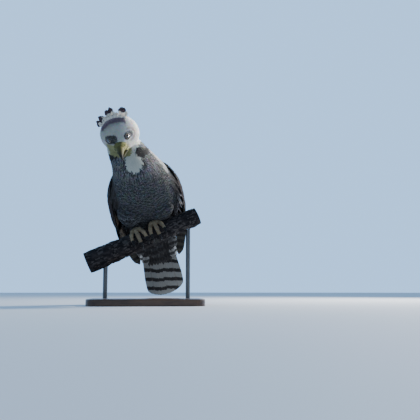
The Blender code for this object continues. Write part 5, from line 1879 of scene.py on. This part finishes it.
@dataclass
class Foot:
    """Toes with scutes and claws round the branch."""

    side: str
    sink: float = 0.0006
    toes: tuple[Toe, ...] = (
        ("inner", 0.0175, 84.0, 2.0, 0.0066),
        ("middle", 0.0000, 88.0, -12.0, 0.0068),
        ("outer", -0.0170, 84.0, 8.0, 0.0060),
        ("hind", 0.0030, 96.0, 172.0, 0.0070),
    )
    toe_rings: int = 40
    front_scutes: int = 13
    hind_scutes: int = 10
    scute_half_angle: float = 64.0
    scute_root: float = 0.0010
    tarsus_high: float = 0.020
    tarsus_low: float = 0.0045
    tarsus_radii: tuple[float, ...] = (0.0084,) * 8 + (0.0086, 0.0070)
    claw_turn: float = 46.0
    claw_radius: float = 0.0040
    claw_arch: float = 0.0050
    claw_gap: float = 0.0013
    plate_profile: Rows = ((-0.0014, -0.0004), (-0.0011, 0.0004), (0.0, 0.0008), (0.0011, 0.0005),
                           (0.0014, -0.0004))

    def line(self, toe: Toe, rings: int) -> tuple[list[Vector], list[float], list[Vector]]:
        """Follow a toe from the tarsus to its claw.

        Args:
            toe: Its name, splay, start and end angle, and base radius.
            rings: Number of points wanted.

        Returns:
            Centres, radii and outward directions along it.
        """
        place = FEET[self.side]
        mirror = -SIDES[self.side]
        _, splay, start, end, base = toe
        points, radii, outs = [], [], []
        for part in np.linspace(0.0, 1.0, rings):
            spread = place + splay * mirror * math.sin(0.5 * math.pi * part) * 1.1
            radius = base * (1.0 - 0.30 * part) * (1.0 + 0.07 * math.cos(3.0 * math.tau * part))
            reach = POSE.perch_radius(spread) + radius - self.sink
            angle = start + (end - start) * part
            points.append(POSE.on_perch(spread, angle, reach))
            outs.append((points[-1] - POSE.on_perch(spread, angle, 0.0)).normalized())
            radii.append(radius)
        return points, radii, outs

    def toes_mesh(self, finish: Finish) -> Thing:
        """Toes with swollen joints and bent scutes above."""
        bm = bmesh.new()
        for toe in self.toes:
            points, radii, outs = self.line(toe, self.toe_rings)
            rings = []
            for index, point in enumerate(points):
                ahead = points[min(index + 1, self.toe_rings - 1)]
                along = (ahead - points[max(index - 1, 0)]).normalized()
                across = along.cross(outs[index]).normalized()
                rings.append(oval(point, across, outs[index], radii[index], radii[index] * 0.97, 24))
            add_loft(bm, rings)
            scutes = self.hind_scutes if toe[0] == "hind" else self.front_scutes
            for number in range(scutes):
                spot = 6.0 + 32.0 * number / scutes
                index = int(spot)
                along = (points[index + 1] - points[index]).normalized()
                across = along.cross(outs[index]).normalized()
                rings = []
                for shift, rise in self.plate_profile:
                    ring = []
                    for share in np.linspace(-1.0, 1.0, 9):
                        angle = math.radians(self.scute_half_angle * share)
                        direction = outs[index] * math.cos(angle) + across * math.sin(angle)
                        ring.append(points[index] + along * shift + direction * (radii[index] + rise))
                    for share in np.linspace(1.0, -1.0, 9):
                        angle = math.radians((self.scute_half_angle - 4.0) * share)
                        direction = outs[index] * math.cos(angle) + across * math.sin(angle)
                        below = direction * (radii[index] - self.scute_root)
                        ring.append(points[index] + along * shift * 0.6 + below)
                    rings.append(ring)
                add_loft(bm, rings)
        place = FEET[self.side]
        top = POSE.on_perch(place, 92.0, POSE.perch_radius(place) + self.tarsus_high)
        low = POSE.on_perch(place, 88.0, POSE.perch_radius(place) + self.tarsus_low)
        path = [top.lerp(low, part) for part in np.linspace(0.0, 1.0, len(self.tarsus_radii))]
        add_loft(bm, round_bar(path, self.tarsus_radii, 28))
        return from_bmesh("foot_%s_finished" % self.side, bm, finish)

    def claw(self, number: int, toe: Toe, finish: Finish) -> None:
        """Build one curved claw.

        Args:
            number: The claw's number, from 1.
            toe: The toe that bears it.
            finish: Its horn.
        """
        place = FEET[self.side]
        mirror = -SIDES[self.side]
        _, splay, start, end, _ = toe
        _, radii, _ = self.line(toe, 7)
        heading = 1.0 if end > start else -1.0
        spread = place + splay * mirror * 1.1
        branch = POSE.perch_radius(spread)
        path, sizes = [], []
        for part in np.linspace(0.0, 1.0, 26):
            angle = end + heading * (self.claw_turn * part - 1.5)
            base_reach = branch + radii[-1] - self.sink
            reach = base_reach * (1.0 - part) + (branch + self.claw_gap) * part
            reach = reach + self.claw_arch * math.sin(math.pi * part)
            path.append(POSE.on_perch(spread, angle, reach))
            sizes.append(self.claw_radius * (1.0 - part) ** 0.8 * 0.97 + 0.0002)
        name = "claw_%s_%d" % (self.side, number)
        own(lofted(name + "_finished", round_bar(path, sizes, 20), finish), "claw_horn", (name,))

    def make(self) -> None:
        """Build the foot."""
        skin = LeatherFinish("toe_skin_" + self.side, light=(0.33, 0.26, 0.165),
                             shade=(0.19, 0.145, 0.095), roughness=0.70, cell=620.0).make()
        own(self.toes_mesh(skin), "foot_skin", ("foot_" + self.side,))
        horn = HornFinish("claw_horn_" + self.side, dark=(0.012, 0.011, 0.011),
                          pale=(0.050, 0.046, 0.044), roughness=0.28).make()
        for number, toe in enumerate(self.toes, start=1):
            self.claw(number, toe, horn)


@dataclass
class Branch:
    """The cut length of branch: furrowed bark and sawn ends."""

    rings: int = 150
    sides: int = 96
    furrow_waves: int = 6
    furrow_depth: float = 0.0011
    knot_height: float = 0.0016
    flake_sink: float = 0.0004
    flake_density: float = 16000.0
    flake_length: float = 0.0085
    flake_width: float = 0.0032
    flake_thickness: float = 0.0007
    flake_inset: float = 0.006

    def bark(self) -> Thing:
        """Bark with furrows along the branch, calm where the toes grip."""
        rng = np.random.default_rng(SEEDS["bark"])
        phases = rng.uniform(0.0, math.tau, 12)
        rows = []
        for place in np.linspace(PERCH_START, PERCH_END, self.rings):
            ring = []
            calm = min(1.0, max(0.0, (abs(place - 0.007) - 0.05) / 0.03))
            for step in range(self.sides):
                angle = 360.0 * step / self.sides
                turn = math.radians(angle)
                wave = 0.018 * math.sin(37.0 * place + 1.0) + 0.014 * math.sin(3.0 * turn + 52.0 * place)
                furrow = 0.0
                for order in range(self.furrow_waves):
                    twist = (28.0 + 17.0 * order) * place * (1 if order % 2 else -1)
                    furrow += math.sin((9 + 3 * order) * turn + twist + phases[order]) / (order + 1.6)
                furrow = -abs(furrow) ** 1.3 * self.furrow_depth
                knot = self.knot_height * math.sin(170.0 * place + phases[7])
                knot = knot * math.sin(2.0 * turn + phases[8] + 30.0 * place)
                reach = POSE.perch_radius(place) * (1.0 + wave * calm)
                reach = reach + furrow * (0.35 + 0.65 * calm) + knot * calm
                ring.append(POSE.on_perch(place, angle, reach))
            rows.append(ring)
        piece = lofted("branch_bark", rows, BarkFinish().make())
        piece.data.materials.append(EndGrainFinish().make())
        middle = Vector((math.cos(PERCH_SLOPE), 0.0, math.sin(PERCH_SLOPE)))
        for face in piece.data.polygons:
            if abs(face.normal.dot(middle)) > 0.9:
                face.material_index = 1
        return own(piece, "bark", ("perch",))

    def flakes(self) -> Thing:
        """Small lifted plates of bark, set over the branch by Geometry Nodes."""
        base = self.flake_ground()
        tree = flake_nodes()
        setting = base.modifiers.new("flakes", "NODES")
        setting.node_group = tree
        names = {item.name: item.identifier for item in tree.interface.items_tree
                 if item.item_type == "SOCKET"}
        setting[names["Density"]] = self.flake_density
        setting[names["Length"]] = self.flake_length
        setting[names["Width"]] = self.flake_width
        setting[names["Thickness"]] = self.flake_thickness
        setting[names["Finish"]] = bpy.data.materials["bark"]
        graph = bpy.context.evaluated_depsgraph_get()
        mesh = bpy.data.meshes.new_from_object(base.evaluated_get(graph))
        bpy.data.objects.remove(base, do_unlink=True)
        piece = link(bpy.data.objects.new("branch_flakes", mesh))
        return own(piece, "bark")

    def flake_ground(self) -> Thing:
        """Open sheet just inside the bark that carries the flakes."""
        bm = bmesh.new()
        rows = []
        for place in np.linspace(PERCH_START + self.flake_inset, PERCH_END - self.flake_inset, 40):
            reach = POSE.perch_radius(place) - self.flake_sink
            ring = [POSE.on_perch(place, 15.0 * step, reach) for step in range(24)]
            rows.append([bm.verts.new(point) for point in ring])
        for here, there in zip(rows, rows[1:]):
            for face in bridge(bm, here, there):
                face.smooth = True
        return from_bmesh("flake_ground", bm, bpy.data.materials["bark"])


def flake_nodes() -> bpy.types.NodeTree:
    """Geometry Nodes that scatter bevelled plates over a surface along the branch.

    Returns:
        The tree, with inputs Density, Length, Width, Thickness and Finish.
    """
    tree = bpy.data.node_groups.new("bark_flakes", "GeometryNodeTree")
    face = tree.interface
    face.new_socket("Geometry", in_out="INPUT", socket_type="NodeSocketGeometry")
    for name in ("Density", "Length", "Width", "Thickness"):
        face.new_socket(name, in_out="INPUT", socket_type="NodeSocketFloat")
    face.new_socket("Finish", in_out="INPUT", socket_type="NodeSocketMaterial")
    face.new_socket("Geometry", in_out="OUTPUT", socket_type="NodeSocketGeometry")
    kinds = {
        "source": "NodeGroupInput", "result": "NodeGroupOutput", "size": "ShaderNodeCombineXYZ",
        "spread": "GeometryNodeDistributePointsOnFaces", "plate": "GeometryNodeMeshCube",
        "align": "FunctionNodeAlignRotationToVector", "lengthwise": "FunctionNodeAlignRotationToVector",
        "tilt": "FunctionNodeRandomValue", "turn": "FunctionNodeRotateRotation",
        "vary": "FunctionNodeRandomValue", "place": "GeometryNodeInstanceOnPoints",
        "real": "GeometryNodeRealizeInstances", "dress": "GeometryNodeSetMaterial",
    }
    nodes = {name: tree.nodes.new(kind) for name, kind in kinds.items()}
    nodes["spread"].distribute_method = "RANDOM"
    nodes["spread"].inputs["Seed"].default_value = 4
    nodes["align"].axis = "Z"
    nodes["lengthwise"].axis = "X"
    nodes["lengthwise"].pivot_axis = "Z"
    along = (math.cos(PERCH_SLOPE), 0.0, math.sin(PERCH_SLOPE))
    nodes["lengthwise"].inputs["Vector"].default_value = along
    nodes["turn"].rotation_space = "LOCAL"
    for name, low, high in (("tilt", (-0.10, -0.10, -0.25), (0.10, 0.10, 0.25)),
                            ("vary", (0.4, 0.5, 0.6), (1.3, 1.4, 1.2))):
        nodes[name].data_type = "FLOAT_VECTOR"
        nodes[name].inputs["Min"].default_value = low
        nodes[name].inputs["Max"].default_value = high
    for giver, outlet, taker, inlet in (
            ("source", "Geometry", "spread", "Mesh"), ("source", "Density", "spread", "Density"),
            ("source", "Length", "size", 0), ("source", "Width", "size", 1),
            ("source", "Thickness", "size", 2), ("size", 0, "plate", "Size"),
            ("spread", "Normal", "align", "Vector"), ("align", 0, "lengthwise", "Rotation"),
            ("lengthwise", 0, "turn", "Rotation"), ("tilt", "Value", "turn", "Rotate By"),
            ("spread", "Points", "place", "Points"), ("plate", "Mesh", "place", "Instance"),
            ("turn", 0, "place", "Rotation"), ("vary", "Value", "place", "Scale"),
            ("place", 0, "real", 0), ("real", 0, "dress", "Geometry"),
            ("source", "Finish", "dress", "Material"), ("dress", 0, "result", 0)):
        tree.links.new(nodes[giver].outputs[outlet], nodes[taker].inputs[inlet])
    return tree


@dataclass
class Stand:
    """Base and rods of the display stand, which keep the solids' shapes."""

    base: str = "stand_base"
    rods: tuple[str, ...] = ("stand_rod_right", "stand_rod_left")

    def make(self) -> None:
        """Dress the solids."""
        finishes = {self.base: WoodFinish().make()}
        finishes.update(dict.fromkeys(self.rods, MetalFinish().make()))
        for name, finish in finishes.items():
            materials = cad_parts[name].data.materials
            materials.clear()
            materials.append(finish)


@dataclass
class Studio:
    """Camera in the photo's place, soft light and a pale floor."""

    camera_place: Triple = (0.0, -1.70, 0.040)
    camera_yaw: float = math.radians(5.755)
    camera_pitch: float = math.radians(7.25)
    lens: float = 54.0
    aim_height: float = 0.30
    spot_power: float = 560.0
    spot_angle: float = math.radians(8.0)
    spot_place: Triple = (1.64, 0.18, 0.95)
    spot_aim: Triple = (-0.030, -0.12, 0.430)
    spot_colour: Colour = (1.0, 0.97, 0.93)
    sky_colour: Colour = (0.36, 0.62, 1.0)
    sky_front: float = 0.37
    sky_back: float = 1.60
    floor_radius: float = 9.0

    def camera(self) -> None:
        """Place the camera low in front, so that it looks up at the bird."""
        data = bpy.data.cameras.new("camera")
        data.lens = self.lens
        data.sensor_width = 36.0
        data.clip_start = 0.05
        camera = link(bpy.data.objects.new("camera", data))
        camera.location = self.camera_place
        camera.rotation_euler = (math.radians(90.0) + self.camera_pitch, 0.0, -self.camera_yaw)
        bpy.context.scene.camera = camera

    def light(self, name: str, place: Triple, size: float, power: float, colour: Colour) -> None:
        """Add one soft area light aimed at the bird."""
        data = bpy.data.lights.new(name, "AREA")
        data.shape = "DISK"
        data.size = size
        data.energy = power
        data.color = colour
        lamp = link(bpy.data.objects.new(name, data))
        lamp.location = place
        back = Vector(place) - Vector((0.0, 0.0, self.aim_height))
        lamp.rotation_euler = back.to_track_quat("Z", "Y").to_euler()

    def spot(self) -> None:
        """Add a small soft spot on the head and shoulder, from the right and a little behind."""
        data = bpy.data.lights.new("head_spot", "SPOT")
        data.energy = self.spot_power
        data.color = self.spot_colour
        data.spot_size = self.spot_angle
        data.spot_blend = 0.8
        data.shadow_soft_size = 0.08
        lamp = link(bpy.data.objects.new("head_spot", data))
        lamp.location = self.spot_place
        back = lamp.location - Vector(self.spot_aim)
        lamp.rotation_euler = back.to_track_quat("Z", "Y").to_euler()

    def sky(self) -> None:
        """Light the scene from a blue sky that is brighter behind the bird."""
        world = bpy.data.worlds.new("sky")
        bpy.context.scene.world = world
        world.use_nodes = True
        shade = world.node_tree.nodes["Background"]
        shade.inputs[0].default_value = (*self.sky_colour, 1.0)
        place = world.node_tree.nodes.new("ShaderNodeTexCoord")
        split = world.node_tree.nodes.new("ShaderNodeSeparateXYZ")
        rise = world.node_tree.nodes.new("ShaderNodeMapRange")
        rise.interpolation_type = "SMOOTHSTEP"
        limits = {"From Min": -0.6, "From Max": 0.8, "To Min": self.sky_front, "To Max": self.sky_back}
        for key, value in limits.items():
            rise.inputs[key].default_value = value
        world.node_tree.links.new(place.outputs["Generated"], split.inputs[0])
        world.node_tree.links.new(split.outputs[1], rise.inputs["Value"])
        world.node_tree.links.new(rise.outputs["Result"], shade.inputs[1])

    def make(self) -> None:
        """Build the studio."""
        self.camera()
        self.light("key", place=(1.48, 1.02, 1.20), size=0.40, power=72.0, colour=(1.0, 0.96, 0.90))
        self.spot()
        self.light("fill", place=(-1.5, -1.9, 1.2), size=1.8, power=5.0, colour=(0.88, 0.94, 1.0))
        self.light("front", place=(0.5, -2.3, 0.4), size=1.6, power=2.5, colour=(0.92, 0.96, 1.0))
        self.sky()
        bm = bmesh.new()
        bmesh.ops.create_circle(bm, cap_ends=True, segments=96, radius=self.floor_radius)
        floor = from_bmesh("floor", bm, FloorFinish().make(), False)


def build_bird() -> None:
    """Build the bird: skin, coat, wings, tail, crest, face and feet."""
    soft = FeatherFinish(Plume.SOFT).make()
    flight = FeatherFinish(Plume.FLIGHT).make()
    form = Skin()
    skin = form.make(SkinFinish().make())
    ground = Ground(skin)
    plumage = Plumage()
    colour_skin(skin, plumage)
    own(skin, "body_plumage", ("torso", "neck", "head", "thigh_left", "thigh_right"))
    for piece in Coat(ground, plumage, form).make(soft):
        own(piece, "head_plumage" if "face" in piece.name or "crown" in piece.name else "body_plumage")
    for side in SIDES:
        wing = Wing(side)
        core = own(wing.core(bpy.data.materials["skin_down"]), "wing_plumage", ("wing_" + side,))
        paint(core, (*BROWN, 1.0), (*SOOT, 1.0))
        for piece in wing.make(flight):
            own(piece, "wing_plumage")
    tail = Tail().make(flight)
    own(tail[0], "tail_plumage", ("tail",))
    for piece in tail[1:]:
        own(piece, "tail_plumage")
    own(Crest().make(flight), "head_plumage")
    Face().make()
    for side in SIDES:
        Foot(side).make()


def paint(piece: Thing, plume: Sequence[float], mark: Sequence[float]) -> None:
    """Give a piece one ground colour and one mark colour."""
    for name, colour in (("plume", plume), ("mark", mark)):
        layer = piece.data.attributes.new(name, "FLOAT_COLOR", "POINT")
        layer.data.foreach_set("color", np.tile(colour, len(piece.data.vertices)))


def colour_skin(skin: Thing, plumage: Plumage) -> None:
    """Carry the plumage's colours onto the skin under it."""
    count = len(skin.data.vertices)
    points = np.empty(count * 3)
    skin.data.vertices.foreach_get("co", points)
    points = points.reshape(-1, 3)
    bodies = POSE.to_body(points)
    heads = POSE.to_head(points)
    looks = [plumage.look(bodies[index], heads[index]) for index in range(count)]
    for name in ("plume", "mark"):
        rows = np.array([(*getattr(look, name), 1.0) for look in looks])
        layer = skin.data.attributes.new(name, "FLOAT_COLOR", "POINT")
        layer.data.foreach_set("color", rows.reshape(-1))


def main() -> None:
    """Build the studio, the bird, its perch and its stand."""
    logging.basicConfig(level=logging.INFO, format="%(message)s")
    Studio().make()
    build_bird()
    branch = Branch()
    branch.bark()
    branch.flakes()
    Stand().make()


if __name__ == "__main__":
    main()
